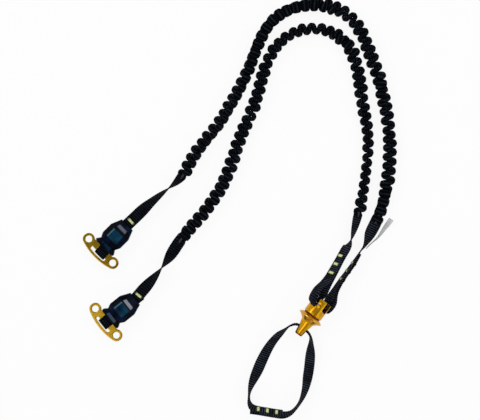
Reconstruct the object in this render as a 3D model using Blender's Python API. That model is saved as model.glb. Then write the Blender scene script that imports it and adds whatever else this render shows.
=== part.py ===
"""Ice tool leash, laid flat on the floor.

Two elastic webbing arms run from gold toggles, through hard grip sleeves, to a gold swivel. A stitched
webbing loop in the swivel's eye goes to the harness. Metres, with +Z up and the floor at z = 0.
"""

import math
from dataclasses import dataclass

import bmesh
import bpy
import numpy as np
from mathutils import Matrix, Vector

# The gap kept between neighbours that touch on the real leash
GAP = 0.0003

# Flat webbing
TAPE_WIDTH = 0.014
TAPE_THICKNESS = 0.0016
TAPE_STEP = 0.004
LAYER_OFFSET = (TAPE_THICKNESS + GAP) / 2

# Bar tacks: across the webbing, along it and standing out of it
TACK_WIDTH = 0.011
TACK_LENGTH = 0.0034
TACK_THICKNESS = 0.00045

# Gathered webbing: beads lean to the two sides in turn, with a waist between them
RUFFLE_PITCH = 0.0107
RUFFLE_LEAN = 0.0026
BEAD_HALF_DEPTH = 0.0054
BEAD_HALF_WIDTH = 0.0069
WAIST_HALF_DEPTH = 0.0038
WAIST_HALF_WIDTH = 0.0062
CUFF_LENGTH = 0.007
CUFF_STEP = 0.0028
CUFF_HALF_DEPTH = 0.0031
CUFF_HALF_WIDTH = 0.0064

# Elastic cord inside the gathered webbing
CORE_RADIUS = 0.0015
CORE_CLEARANCE = 0.0004
CORE_STEP = 0.010
CORE_SIDES = 6
CORE_BORE_SIDES = 8

# Swivel: where its tail's tip lies, which way it points in plan, and the height of its axis
SWIVEL_TIP = (0.10425, -0.06145)
SWIVEL_TURN = math.radians(53.2)
ROUND_SEGMENTS = 40
SMALL_SEGMENTS = 24

# Small chamfer on the swivel's turned edges
TURNED_EDGE = 0.0006

# Swivel tail, measured along the axis from its tip; its cove swells from stem to flange by a power
TIP_RADIUS = 0.0044
STEM_RADIUS = 0.0075
STEM_END = 0.0172
COVE_POWER = 1.45
COVE_STEPS = 5
FLANGE_RADIUS = 0.0147
FLANGE_START = 0.0230
FLANGE_END = 0.0242
TAIL_LENGTH = 0.0264
TAIL_FACE_RADIUS = 0.0114
EYE_X = 0.0088
EYE_RADIUS = 0.0034
EYE_FLARE = 0.0012

# Swivel axle: a shoulder screw from the head's floor into the tail
AXLE_RADIUS = 0.0030
AXLE_DEPTH = 0.0120
AXLE_HEAD_RADIUS = 0.0052
AXLE_HEAD_HEIGHT = 0.0030
AXLE_HEAD_EDGE = 0.0012
AXLE_HEAD_CROWN_RADIUS = 0.0029
AXLE_CLEARANCE = 0.0006
WASHER_THICKNESS = 0.0007
THRUST_WASHER_RADIUS = 0.0104
AXLE_WASHER_RADIUS = 0.0066

# Swivel head: a skirt, a floor and four posts between windows
HEAD_RADIUS = 0.0113
HEAD_FLOOR = 0.0038
RIM_HEIGHT = 0.0089
HEAD_LENGTH = 0.0209
CUP_RADIUS = 0.0079
WINDOW_WIDTH = 0.0080
WINDOW_CORNER = 0.0010

# Cross pins, each in its own window
PIN_RADIUS = 0.0012
PIN_CLEARANCE = 0.00015
PIN_OFFSET = 0.0088
PIN_HALF_LENGTH = 0.0066
PIN_RIM_CLEARANCE = 0.0006
PIN_SIDES = 16

# Webbing where it is bunched up: in the windows, and in the eye
WINDOW_TAPE_WIDTH = 0.0072
WINDOW_TAPE_THICKNESS = 0.0029
EYE_TAPE_WIDTH = 0.0056
EYE_TAPE_THICKNESS = 0.0030

# How far from the pin the two legs of the webbing stay bunched, and where they are flat again
INNER_LEG_BUNCHED = 0.008
INNER_LEG_FLAT = 0.0145
OUTER_LEG_FREE = 0.0035
OUTER_LEG_SPREAD = 0.0078
OUTER_LEG_FLAT = 0.016
OUTER_LEG_STEP = 0.0028
LAYERS_MEET = 0.035
STITCHED_LENGTH = 0.075
LAYER_FADE_START = 0.002
LAYER_FADE = 0.008
SWIVEL_TACKS = (0.0390, 0.0505, 0.0615)

# Width of each arm's stitched leg where it bulges out beside the swivel
OUTER_LEG_WIDTH = 0.0130
INNER_LEG_WIDTH = 0.0136

# Toggle plate, measured from the line through its two holes
TOGGLE_HEIGHT = 0.011
TOGGLE_THICKNESS = 0.0030
HOLE_SPACING = 0.0388
HOLE_RADIUS = 0.00385
LOBE_RADIUS = 0.0069
RIM_X = -0.0099
OUTER_BAR = 0.0030
INNER_BAR_START = -0.0028
INNER_BAR_END = 0.0052
INNER_BAR_HALF_LENGTH = 0.0128
SLOT_LENGTH = 0.0214
SLOT_CORNER = 0.0008
TOGGLE_BEVEL = 0.0005
TILT_X = (INNER_BAR_START + INNER_BAR_END) / 2

# Middle of each toggle's hole line in plan, and the turn of its arm's end
OUTER_TOGGLE = (-0.12155, 0.03375)
OUTER_TOGGLE_TURN = math.radians(44.6)
INNER_TOGGLE = (-0.11565, -0.04765)
INNER_TOGGLE_TURN = math.radians(38.4)

# Webbing round the toggle's bar
WRAP_START = 0.0005
WRAP_LEGS_PART = 0.0052
WRAP_LEGS_MEET = 0.0112
TOOL_TAPE_END = 0.0507
TOOL_TACK_X = 0.0485
TOOL_TAPE_STEP = 0.010
WRAP_DRIFT = 0.0022

# Where an arm's route starts, as distances from the toggle inside and behind the grip sleeve
TOOL_RUN = (0.036, 0.044)

# Grip sleeve and its collar, from the toggle towards the arm. The chamfers are shares of the
# sleeve's own at its nose, at its neck and tail, and on the collar's flare.
COLLAR_START = 0.0058
COLLAR_LENGTH = 0.0059
COLLAR_LIP = 0.0016
SLEEVE_LENGTH = 0.0305
SLEEVE_NOSE_TAPER = 0.0055
SLEEVE_TAIL_TAPER = 0.0115
SLEEVE_TAIL_TIP = 0.0055
SLEEVE_WIDTH = 0.0269
SLEEVE_NOSE_WIDTH = 0.0214
SLEEVE_TAIL_WIDTH = 0.0178
SLEEVE_NOSE_HEIGHT = 0.0170
SLEEVE_TAIL_HEIGHT = 0.0125
SLEEVE_CHAMFER = 0.0055
NOSE_CHAMFER_SHARE = 0.7
NECK_CHAMFER_SHARE = 0.8
TAIL_CHAMFER_SHARE = 0.6
FLARE_CHAMFER_SHARE = 1.1
NECK_WIDTH_SHARE = 0.45
NECK_HEIGHT_SHARE = 0.5
SLEEVE_EDGE = 0.0006
COLLAR_WIDTH = 0.0275
COLLAR_HEIGHT = 0.0190
BORE_EASE = 0.0010
BORE_WIDTH = TAPE_WIDTH + BORE_EASE
SLEEVE_BORE_HEIGHT = 2 * (LAYER_OFFSET + TAPE_THICKNESS / 2 + TACK_THICKNESS + GAP) + BORE_EASE / 2
BORE_CHAMFER = 0.0006
COLLAR_BORE_WIDTH = BORE_WIDTH + 2 * WRAP_DRIFT
COLLAR_BORE_HEIGHT = TOGGLE_THICKNESS + 2 * (TAPE_THICKNESS + 2 * GAP)

# Label tab
LABEL_WIDTH = 0.006
LABEL_THICKNESS = 0.0005
LABEL_STEP = 0.006

# Harness loop
LOOP_OVERLAP = (0.009, 0.019, 0.029, 0.038)
LOOP_TACKS = (0.0090, 0.0196, 0.0303)
LOOP_BUNCHED = 0.0065
LOOP_FLAT = 0.022
EYE_STRAIGHT = 0.007

# Routes, chosen by hand along the webbing: x, y, z and the roll in degrees about the route.
# A roll of 0 stands the webbing on its edge and 90 lays it face up. Each arm runs from its toggle.
OUTER_FLAT = [
    (-0.0825, 0.0719, 0.01195, 90), (-0.0757, 0.0785, 0.0116, 82), (-0.0669, 0.0867, 0.0108, 55),
    (-0.0564, 0.0957, 0.0096, 33), (-0.0457, 0.1043, 0.0084, 8), (-0.0352, 0.1128, 0.0076, -28),
]
OUTER_GATHERED = [
    (-0.0266, 0.1226, 0.0078, -50), (-0.0195, 0.1339, 0.0082, -50), (-0.0040, 0.1565, 0.0085, -50),
    (0.0134, 0.1780, 0.0085, -50), (0.0278, 0.2015, 0.0085, -50), (0.0407, 0.2259, 0.0085, -50),
    (0.0511, 0.2512, 0.0085, -46), (0.0614, 0.2768, 0.0084, -38), (0.0769, 0.2995, 0.0081, -28),
    (0.1007, 0.3129, 0.0076, -16), (0.1282, 0.3165, 0.0070, -4), (0.1550, 0.3093, 0.0068, 0),
    (0.1744, 0.2903, 0.0068, 0), (0.1858, 0.2650, 0.0068, 0), (0.1939, 0.2432, 0.0072, 12),
    (0.1995, 0.2248, 0.0080, 90), (0.2046, 0.2024, 0.0082, 150), (0.2092, 0.1715, 0.0080, 155),
    (0.2103, 0.1439, 0.0080, 152), (0.2081, 0.1163, 0.0082, 135), (0.2038, 0.0943, 0.0080, 100),
    (0.1978, 0.0757, 0.0078, 90),
]
OUTER_DOUBLED = [
    (0.1928, 0.0640, 0.0077, 88), (0.1876, 0.0536, 0.0076, 70), (0.1834, 0.0440, 0.0077, 32),
    (0.1762, 0.0312, 0.0077, 4), (0.1657, 0.0151, 0.0077, -7), (0.1583, 0.0051, 0.0078, -9),
    (0.1508, -0.0058, 0.0080, -14), (0.1426, -0.0190, 0.0083, -28),
]
INNER_FLAT = [
    (-0.0767, -0.0152, 0.01195, 90), (-0.0700, -0.0075, 0.0115, 74), (-0.0614, 0.0023, 0.0104, 42),
    (-0.0528, 0.0131, 0.0092, 5), (-0.0447, 0.0243, 0.0082, -42), (-0.0367, 0.0366, 0.0076, -80),
]
INNER_GATHERED = [
    (-0.0280, 0.0494, 0.0078, -84), (-0.0118, 0.0683, 0.0080, -88), (0.0055, 0.0899, 0.0080, -88),
    (0.0198, 0.1135, 0.0082, -70), (0.0303, 0.1391, 0.0083, -40), (0.0390, 0.1654, 0.0074, -8),
    (0.0500, 0.1907, 0.0068, 0), (0.0591, 0.2167, 0.0068, 0), (0.0665, 0.2431, 0.0068, 0),
    (0.0789, 0.2676, 0.0068, 0), (0.1003, 0.2846, 0.0068, 0), (0.1271, 0.2891, 0.0068, 0),
    (0.1456, 0.2838, 0.0071, -10), (0.1600, 0.2723, 0.0080, -85), (0.1686, 0.2566, 0.0080, -150),
    (0.1749, 0.2334, 0.0070, -178), (0.1791, 0.2025, 0.0068, -180), (0.1841, 0.1756, 0.0068, -180),
    (0.1851, 0.1482, 0.0068, -180), (0.1822, 0.1207, 0.0070, -178), (0.1787, 0.0966, 0.0075, -160),
    (0.1757, 0.0838, 0.0077, -136),
]
INNER_DOUBLED = [
    (0.1728, 0.0722, 0.0077, -130), (0.1700, 0.0612, 0.0077, -142), (0.1676, 0.0526, 0.0079, -158),
    (0.1650, 0.0452, 0.0082, -180), (0.1617, 0.0396, 0.0086, -204), (0.1553, 0.0289, 0.0097, -211),
    (0.1486, 0.0170, 0.0114, -213), (0.1421, 0.0058, 0.0140, -219), (0.1356, -0.0056, 0.0172, -224),
]
LOOP_RIGHT = [
    (0.0496, -0.1494, 0.0069, 27), (0.0582, -0.1505, 0.0069, 27), (0.0686, -0.1523, 0.0069, 27),
    (0.0789, -0.1540, 0.0069, 27), (0.0881, -0.1549, 0.0070, 24), (0.0957, -0.1528, 0.0072, 12),
    (0.1010, -0.1483, 0.0073, 5), (0.1065, -0.1409, 0.0073, 6), (0.1107, -0.1320, 0.0071, 18),
    (0.1137, -0.1225, 0.0066, 32), (0.1157, -0.1121, 0.0060, 46), (0.1174, -0.1017, 0.0056, 50),
    (0.1185, -0.0912, 0.0060, 50), (0.1194, -0.0808, 0.0076, 38), (0.1199, -0.0716, 0.0104, 16),
    (0.1191, -0.0655, 0.0130, 6),
]
LOOP_LEFT = [
    (0.0955, -0.0517, 0.0130, 6), (0.0900, -0.0557, 0.0110, 16), (0.0838, -0.0612, 0.0092, 34),
    (0.0773, -0.0684, 0.0074, 44), (0.0714, -0.0768, 0.0060, 52), (0.0664, -0.0859, 0.0050, 60),
    (0.0620, -0.0953, 0.0044, 66), (0.0578, -0.1049, 0.0048, 62), (0.0535, -0.1143, 0.0058, 46),
    (0.0501, -0.1237, 0.0068, 24), (0.0484, -0.1329, 0.0073, 8), (0.0486, -0.1405, 0.0074, 14),
    (0.0518, -0.1460, 0.0077, 24),
]

# The stitched leg's bulge, chosen by hand from the pin outwards: distance towards the arm, height
# over the route, lift over the floor and extra roll
OUTER_BULGE = [
    (-0.0030, 0.0024, 0.0000, 1), (-0.0020, 0.0046, 0.0006, 3), (0.0010, 0.0064, 0.0016, 6),
    (0.0050, 0.0072, 0.0026, 8), (0.0090, 0.0070, 0.0030, 9), (0.0150, 0.0054, 0.0022, 8),
    (0.0240, 0.0025, 0.0006, 4),
]
INNER_BULGE = [
    (-0.0030, 0.0026, 0.0, 1), (-0.0016, 0.0058, 0.0, 4), (0.0016, 0.0082, 0.0, 8),
    (0.0070, 0.0094, 0.0, 10), (0.0130, 0.0090, 0.0, 8), (0.0200, 0.0060, 0.0, 4),
    (0.0275, 0.0023, 0.0, 1),
]
LABEL_ROUTE = [
    (0.1831, 0.0363, 0.0076, 0), (0.1914, 0.0444, 0.0074, 20), (0.1990, 0.0522, 0.0066, 60),
    (0.2061, 0.0616, 0.0056, 80), (0.2123, 0.0701, 0.0048, 85),
]

# Finishes: colour, roughness and metallic value
WEBBING = ((0.012, 0.016, 0.024), 0.85, 0.0)
ELASTIC = ((0.55, 0.55, 0.52), 0.7, 0.0)
THREAD = ((0.50, 0.56, 0.10), 0.7, 0.0)
GOLD = ((0.80, 0.47, 0.03), 0.28, 1.0)
STEEL = ((0.55, 0.55, 0.56), 0.3, 1.0)
GROOVE = ((0.10, 0.015, 0.01), 0.5, 0.0)
GRIP = ((0.010, 0.025, 0.045), 0.25, 0.0)
LABEL = ((0.72, 0.72, 0.72), 0.5, 0.0)


@dataclass(frozen=True)
class Arm:
    """One elastic arm: its name, its toggle's place in plan, its routes and its window in the swivel."""

    name: str
    toggle: tuple
    toggle_turn: float
    flat: list
    gathered: list
    doubled: list
    window: int
    window_roll: float
    bulge: list
    leg_width: float
    drift: float


ARMS = (
    Arm("outer", OUTER_TOGGLE, OUTER_TOGGLE_TURN, OUTER_FLAT, OUTER_GATHERED, OUTER_DOUBLED,
        -1, -45.0, OUTER_BULGE, OUTER_LEG_WIDTH, -WRAP_DRIFT),
    Arm("inner", INNER_TOGGLE, INNER_TOGGLE_TURN, INNER_FLAT, INNER_GATHERED, INNER_DOUBLED,
        1, -225.0, INNER_BULGE, INNER_LEG_WIDTH, 0.0),
)


def smooth(value, start, end):
    """Go from 0 at start to 1 at end, level at both ends."""
    share = np.clip((value - start) / (end - start), 0.0, 1.0)
    return share * share * (3.0 - 2.0 * share)


def mix(start, end, share):
    """Blend two values."""
    return start + (end - start) * share


class Route:
    """A smooth curve through points of x, y, z and roll, read by its length."""

    def __init__(self, points):
        self.rows = np.array(points, dtype=float)
        steps = np.linalg.norm(np.diff(self.rows[:, :3], axis=0), axis=1)
        self.knots = np.concatenate([[0.0], np.cumsum(steps)])
        self.bends = self._bends()
        self.fine = np.linspace(0.0, self.knots[-1], 40 * len(self.knots))
        walked = np.linalg.norm(np.diff(self._value(self.fine)[:, :3], axis=0), axis=1)
        self.walked = np.concatenate([[0.0], np.cumsum(walked)])
        self.length = self.walked[-1]

    def _bends(self):
        """Second derivatives of the natural cubic spline at its knots."""
        count = len(self.knots)
        step = np.diff(self.knots)
        slope = np.diff(self.rows, axis=0) / step[:, None]
        system = np.eye(count)
        target = np.zeros_like(self.rows)
        for i in range(1, count - 1):
            system[i, i - 1:i + 2] = step[i - 1], 2 * (step[i - 1] + step[i]), step[i]
            target[i] = 6 * (slope[i] - slope[i - 1])
        return np.linalg.solve(system, target)

    def _value(self, where):
        """The spline's x, y, z and roll at places along its knots."""
        i = np.clip(np.searchsorted(self.knots, where) - 1, 0, len(self.knots) - 2)
        step = (self.knots[i + 1] - self.knots[i])[:, None]
        after = (where - self.knots[i])[:, None] / step
        before = 1.0 - after
        straight = before * self.rows[i] + after * self.rows[i + 1]
        bent = (before ** 3 - before) * self.bends[i] + (after ** 3 - after) * self.bends[i + 1]
        return straight + bent * step ** 2 / 6

    def length_at(self, point):
        """Length along the route at one of its own points."""
        return float(np.interp(self.knots[point], self.fine, self.walked))

    def roll_at(self, lengths):
        """The roll, in degrees, at lengths along the route."""
        return self._value(np.interp(lengths, self.walked, self.fine))[:, 3]

    def frames(self, lengths):
        """Centres, tangents, face normals and width directions at lengths along the route."""
        where = np.interp(np.asarray(lengths, dtype=float), self.walked, self.fine)
        small = self.knots[-1] * 1e-5
        ahead = self._value(np.minimum(where + small, self.knots[-1]))
        behind = self._value(np.maximum(where - small, 0.0))
        tangent = ahead[:, :3] - behind[:, :3]
        tangent /= np.linalg.norm(tangent, axis=1, keepdims=True)
        rows = self._value(where)
        left = np.cross((0.0, 0.0, 1.0), tangent)
        left /= np.linalg.norm(left, axis=1, keepdims=True)
        up = np.cross(tangent, left)
        roll = np.radians(rows[:, 3:4])
        normal = np.cos(roll) * left + np.sin(roll) * up
        return rows[:, :3], tangent, normal, np.cross(normal, tangent)


def finish(name, look):
    """A material of one colour for one object."""
    colour, roughness, metallic = look
    material = bpy.data.materials.new(name + "_finish")
    material.use_nodes = True
    shader = material.node_tree.nodes["Principled BSDF"]
    shader.inputs["Base Color"].default_value = (*colour, 1.0)
    shader.inputs["Roughness"].default_value = roughness
    shader.inputs["Metallic"].default_value = metallic
    material.diffuse_color = (*colour, 1.0)
    return material


def add_object(name, verts, faces, look=None, parent=None, smooth_angle=30.0):
    """Add a closed mesh, with its faces turned outwards, in its parent's frame."""
    mesh = bpy.data.meshes.new(name)
    mesh.from_pydata([tuple(v) for v in verts], [], faces)
    work = bmesh.new()
    work.from_mesh(mesh)
    bmesh.ops.recalc_face_normals(work, faces=work.faces)
    work.to_mesh(mesh)
    work.free()
    mesh.shade_smooth()
    mesh.set_sharp_from_angle(angle=math.radians(smooth_angle))
    obj = bpy.data.objects.new(name, mesh)
    bpy.context.collection.objects.link(obj)
    obj.parent = parent
    if look:
        mesh.materials.append(finish(name, look))
    return obj


def add_cutter(name, verts, faces, target):
    """Cut a closed mesh out of target, in the frame that target has."""
    cutter = add_object(name, verts, faces, parent=target.parent)
    cutter.display_type = "WIRE"
    cutter.hide_render = True
    cut = target.modifiers.new(name, "BOOLEAN")
    cut.operation = "DIFFERENCE"
    cut.solver = "EXACT"
    cut.object = cutter


def add_bevel(obj, width, angle=35.0):
    """Round an object's sharp edges with one small facet."""
    bevel = obj.modifiers.new("edges", "BEVEL")
    bevel.width = width
    bevel.segments = 1
    bevel.limit_method = "ANGLE"
    bevel.angle_limit = math.radians(angle)


def add_empty(name, place):
    """An empty that pieces hang on, with its place in the world."""
    empty = bpy.data.objects.new(name, None)
    empty.matrix_world = place
    bpy.context.collection.objects.link(empty)
    return empty


def ring_faces(rings, sides, first=0):
    """Quads between successive rings of points."""
    faces = []
    for ring in range(rings - 1):
        start = first + ring * sides
        for side in range(sides):
            after = (side + 1) % sides
            faces.append((start + side, start + after, start + sides + after, start + sides + side))
    return faces


def loft(rings):
    """A closed solid through rings of points, shape (rings, sides, 3)."""
    count, sides, _ = rings.shape
    faces = ring_faces(count, sides)
    faces.append(tuple(range(sides)))
    faces.append(tuple(range((count - 1) * sides, count * sides)))
    return rings.reshape(-1, 3), faces


def bored_loft(outer, bore):
    """A closed solid through outer rings, with a bore through rings of as many sides."""
    sides = outer.shape[1]
    start = outer.shape[0] * sides
    faces = ring_faces(outer.shape[0], sides) + ring_faces(bore.shape[0], sides, start)
    outer_end = start - sides
    bore_end = start + (bore.shape[0] - 1) * sides
    for side in range(sides):
        after = (side + 1) % sides
        faces.append((side, after, start + after, start + side))
        faces.append((outer_end + side, outer_end + after, bore_end + after, bore_end + side))
    return np.concatenate([outer.reshape(-1, 3), bore.reshape(-1, 3)]), faces


def turned(outline, segments=ROUND_SEGMENTS, closed=True):
    """Turn an outline of (x, radius) points about the X axis; a radius of 0 makes a pole."""
    turn = 2 * math.pi * np.arange(segments) / segments
    verts, index = [], []
    for x, radius in outline:
        if radius == 0:
            index.append([len(verts)] * segments)
            verts.append((x, 0.0, 0.0))
        else:
            index.append(list(range(len(verts), len(verts) + segments)))
            verts += [(x, radius * math.cos(a), radius * math.sin(a)) for a in turn]
    pairs = list(zip(index, index[1:]))
    if closed:
        pairs.append((index[-1], index[0]))
    faces = []
    for near, far in pairs:
        for side in range(segments):
            after = (side + 1) % segments
            corners = (near[side], near[after], far[after], far[side])
            face = tuple(dict.fromkeys(corners))
            if len(face) > 2:
                faces.append(face)
    return verts, faces


def prism(outline, low, high):
    """Extrude an outline of (x, y) points from z = low to z = high."""
    count = len(outline)
    verts = [(x, y, low) for x, y in outline] + [(x, y, high) for x, y in outline]
    faces = [(i, (i + 1) % count, (i + 1) % count + count, i + count) for i in range(count)]
    faces += [tuple(range(count)), tuple(range(count, 2 * count))]
    return verts, faces


def moved(place, points):
    """Points carried by a matrix."""
    matrix = np.array(place)
    return np.asarray(points) @ matrix[:3, :3].T + matrix[:3, 3]


def tape_rings(centres, normals, sides, widths, thicknesses):
    """Rings of four corners for webbing of changing width and thickness."""
    half_width = (np.ones(len(centres)) * widths / 2)[:, None]
    half_thickness = (np.ones(len(centres)) * thicknesses / 2)[:, None]
    corners = [(1, 1), (-1, 1), (-1, -1), (1, -1)]
    return np.stack(
        [centres + a * half_thickness * normals + b * half_width * sides for a, b in corners], axis=1)


def spaced(start, end, step):
    """Evenly spaced lengths from start to end, no more than a step apart."""
    return np.linspace(start, end, max(2, math.ceil(abs(end - start) / step) + 1))


def add_tack(name, route, middle, offset, parent_place, parent):
    """A bar tack that lies on the webbing at a length along its route, offset along its normal."""
    lengths = middle + TACK_LENGTH * np.array([-0.5, 0.0, 0.5])
    centre, _, normal, side = route.frames(lengths)
    rings = tape_rings(centre + offset * normal, normal, side, TACK_WIDTH, TACK_THICKNESS)
    verts, faces = loft(rings)
    add_object(name, moved(parent_place.inverted(), verts), faces, THREAD, parent)


# Swivel

SWIVEL_PLACE = (
    Matrix.Translation((*SWIVEL_TIP, FLANGE_RADIUS)) @ Matrix.Rotation(SWIVEL_TURN, 4, "Z"))
EYE_PLACE = SWIVEL_PLACE @ Matrix.Translation((EYE_X, 0.0, 0.0))
WASHER_START = TAIL_LENGTH + GAP
HEAD_START = WASHER_START + WASHER_THICKNESS + GAP
FLOOR_END = HEAD_START + HEAD_FLOOR
WINDOW_START = HEAD_START + RIM_HEIGHT
HEAD_END = HEAD_START + HEAD_LENGTH
AXLE_WASHER_START = FLOOR_END + GAP
AXLE_HEAD_START = AXLE_WASHER_START + WASHER_THICKNESS + GAP
AXLE_HOLE_RADIUS = AXLE_RADIUS + AXLE_CLEARANCE
TURN_RADIUS = PIN_RADIUS + GAP + WINDOW_TAPE_THICKNESS / 2
PIN_X = WINDOW_START + TURN_RADIUS + WINDOW_TAPE_THICKNESS / 2 + PIN_RIM_CLEARANCE


def add_swivel_tail(parent):
    """The turned tail: stem, flange, the bore for the axle and the cross eye."""
    share = np.linspace(0.0, 1.0, COVE_STEPS + 1)
    cove = zip(mix(STEM_END, FLANGE_START, share), mix(STEM_RADIUS, FLANGE_RADIUS, share ** COVE_POWER))
    bore_end = TAIL_LENGTH - AXLE_DEPTH - GAP
    outline = [
        (0.0, 0.0),
        (0.0, TIP_RADIUS - TURNED_EDGE),
        (TURNED_EDGE, TIP_RADIUS),
        *cove,
        (FLANGE_END, FLANGE_RADIUS),
        (TAIL_LENGTH, TAIL_FACE_RADIUS),
        (TAIL_LENGTH, AXLE_RADIUS + GAP),
        (bore_end, AXLE_RADIUS + GAP),
        (bore_end, 0.0),
    ]
    verts, faces = turned(outline, closed=False)
    tail = add_object("swivel_tail", verts, faces, GOLD, parent)
    wall = mix(TIP_RADIUS, STEM_RADIUS, EYE_X / STEM_END)
    mouth = wall + EYE_FLARE
    bore = [
        (-mouth, 0.0), (-mouth, EYE_RADIUS + 2 * EYE_FLARE), (-wall + EYE_FLARE, EYE_RADIUS),
        (wall - EYE_FLARE, EYE_RADIUS), (mouth, EYE_RADIUS + 2 * EYE_FLARE), (mouth, 0.0),
    ]
    verts, faces = turned(bore, segments=SMALL_SEGMENTS, closed=False)
    across = Matrix.Translation((EYE_X, 0.0, 0.0)) @ Matrix.Rotation(math.pi / 2, 4, "Z")
    add_cutter("eye_cut", moved(across, verts), faces, tail)


def window_cutter(turn):
    """A slot with rounded corners right across the head, turned about its axis."""
    half = WINDOW_WIDTH / 2
    end = HEAD_END + WINDOW_WIDTH
    centre = WINDOW_START + WINDOW_CORNER
    near = arc(centre, half - WINDOW_CORNER, WINDOW_CORNER, 180.0, 90.0, 3)
    outline = near + [(end, half), (end, -half)] + [(x, -y) for x, y in reversed(near)]
    reach = 1.5 * HEAD_RADIUS
    verts, faces = prism(outline, -reach, reach)
    return moved(Matrix.Rotation(turn, 4, "X"), verts), faces


def add_swivel_head(parent):
    """The crown: skirt, floor with the axle's hole, and four posts that the windows leave."""
    edge = TURNED_EDGE
    outline = [
        (HEAD_START, AXLE_HOLE_RADIUS),
        (HEAD_START, HEAD_RADIUS - edge),
        (HEAD_START + edge, HEAD_RADIUS),
        (HEAD_END - edge, HEAD_RADIUS),
        (HEAD_END, HEAD_RADIUS - edge),
        (HEAD_END, CUP_RADIUS + edge),
        (HEAD_END - edge, CUP_RADIUS),
        (FLOOR_END, CUP_RADIUS),
        (FLOOR_END, AXLE_HOLE_RADIUS),
    ]
    verts, faces = turned(outline)
    head = add_object("swivel_head", verts, faces, GOLD, parent)
    for number, turn in enumerate((math.pi / 4, -math.pi / 4)):
        add_cutter(f"window_cut_{number + 1}", *window_cutter(turn), head)
    for arm in ARMS:
        add_cutter(arm.name + "_pin_cut", *pin_mesh(arm, PIN_RADIUS + PIN_CLEARANCE, HEAD_RADIUS), head)


def pin_centre(arm):
    """Middle of an arm's cross pin, in the swivel's frame."""
    reach = arm.window * PIN_OFFSET * math.sqrt(0.5)
    return Vector((PIN_X, reach, reach))


def pin_mesh(arm, radius, half_length):
    """A plain cylinder on the cross pin's line."""
    verts, faces = turned(
        [(-half_length, 0.0), (-half_length, radius), (half_length, radius), (half_length, 0.0)],
        segments=PIN_SIDES, closed=False)
    across = Vector((0.0, -arm.window, arm.window)).normalized()
    lie = across.to_track_quat("X", "Z").to_matrix().to_4x4()
    return moved(Matrix.Translation(pin_centre(arm)) @ lie, verts), faces


def add_swivel_small_parts(parent):
    """The axle, the two washers and the two cross pins."""
    axle = [
        (TAIL_LENGTH - AXLE_DEPTH, 0.0),
        (TAIL_LENGTH - AXLE_DEPTH, AXLE_RADIUS),
        (AXLE_HEAD_START, AXLE_RADIUS),
        (AXLE_HEAD_START, AXLE_HEAD_RADIUS),
        (AXLE_HEAD_START + AXLE_HEAD_HEIGHT - AXLE_HEAD_EDGE, AXLE_HEAD_RADIUS),
        (AXLE_HEAD_START + AXLE_HEAD_HEIGHT, AXLE_HEAD_CROWN_RADIUS),
        (AXLE_HEAD_START + AXLE_HEAD_HEIGHT, 0.0),
    ]
    verts, faces = turned(axle, segments=SMALL_SEGMENTS, closed=False)
    add_object("swivel_axle", verts, faces, STEEL, parent)
    bore = AXLE_RADIUS + GAP
    for name, start, radius, look in (
            ("thrust_washer", WASHER_START, THRUST_WASHER_RADIUS, GROOVE),
            ("axle_washer", AXLE_WASHER_START, AXLE_WASHER_RADIUS, STEEL)):
        end = start + WASHER_THICKNESS
        outline = [(start, bore), (start, radius), (end, radius), (end, bore)]
        verts, faces = turned(outline, segments=SMALL_SEGMENTS)
        add_object(name, verts, faces, look, parent)
    for arm in ARMS:
        verts, faces = pin_mesh(arm, PIN_RADIUS, PIN_HALF_LENGTH)
        add_object("web_pin_" + arm.name, verts, faces, STEEL, parent)


# Harness loop

def eye_side(distance, roll=0.0):
    """A route point on the eye's axis, a distance to the right of the eye's middle."""
    point = EYE_PLACE @ Vector((0.0, -distance, 0.0))
    return (*point, roll)


def harness_route():
    """The whole loop: along the bottom, up the right, through the eye, down the left, and lapped."""
    bottom = Route(LOOP_RIGHT)
    centre, _, normal, _ = bottom.frames(LOOP_OVERLAP)
    lapped = centre + (TAPE_THICKNESS + GAP) * normal
    roll = bottom.roll_at(LOOP_OVERLAP)
    eye = [eye_side(EYE_STRAIGHT), eye_side(0.0), eye_side(-EYE_STRAIGHT)]
    laps = [(*point, angle) for point, angle in zip(lapped, roll)]
    return Route(LOOP_RIGHT + eye + LOOP_LEFT + laps), len(LOOP_RIGHT) + 1


def add_harness_loop(parent):
    """The loop's webbing, folded where it passes the eye, and its three bar tacks."""
    route, eye_point = harness_route()
    lengths = spaced(0.0, route.length, TAPE_STEP)
    centre, _, normal, side = route.frames(lengths)
    away = np.abs(lengths - route.length_at(eye_point))
    flat = smooth(away, LOOP_BUNCHED, LOOP_FLAT)
    rings = tape_rings(centre, normal, side, mix(EYE_TAPE_WIDTH, TAPE_WIDTH, flat),
                       mix(EYE_TAPE_THICKNESS, TAPE_THICKNESS, flat))
    verts, faces = loft(rings)
    add_object("harness_loop", moved(EYE_PLACE.inverted(), verts), faces, WEBBING, parent)
    lift = 1.5 * TAPE_THICKNESS + 2 * GAP + TACK_THICKNESS / 2
    for number, middle in enumerate(LOOP_TACKS):
        add_tack(f"harness_tack_{number + 1}", route, middle, lift, EYE_PLACE, parent)


# Arms

def tool_place(arm):
    """Place of an arm's toggle: its hole line, with X towards the arm."""
    return (Matrix.Translation((*arm.toggle, TOGGLE_HEIGHT))
            @ Matrix.Rotation(arm.toggle_turn, 4, "Z"))


def arm_route(arm):
    """An arm's whole route, from inside its grip sleeve to its cross pin."""
    start = [(*(tool_place(arm) @ Vector((x, 0.0, LAYER_OFFSET))), 90.0) for x in TOOL_RUN]
    pin = pin_centre(arm)
    entry = pin + Vector((INNER_LEG_BUNCHED, 0.0, 0.0))
    end = [(*(SWIVEL_PLACE @ point), arm.window_roll) for point in (entry, pin)]
    return Route(start + arm.flat + arm.gathered + arm.doubled + end)


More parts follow.
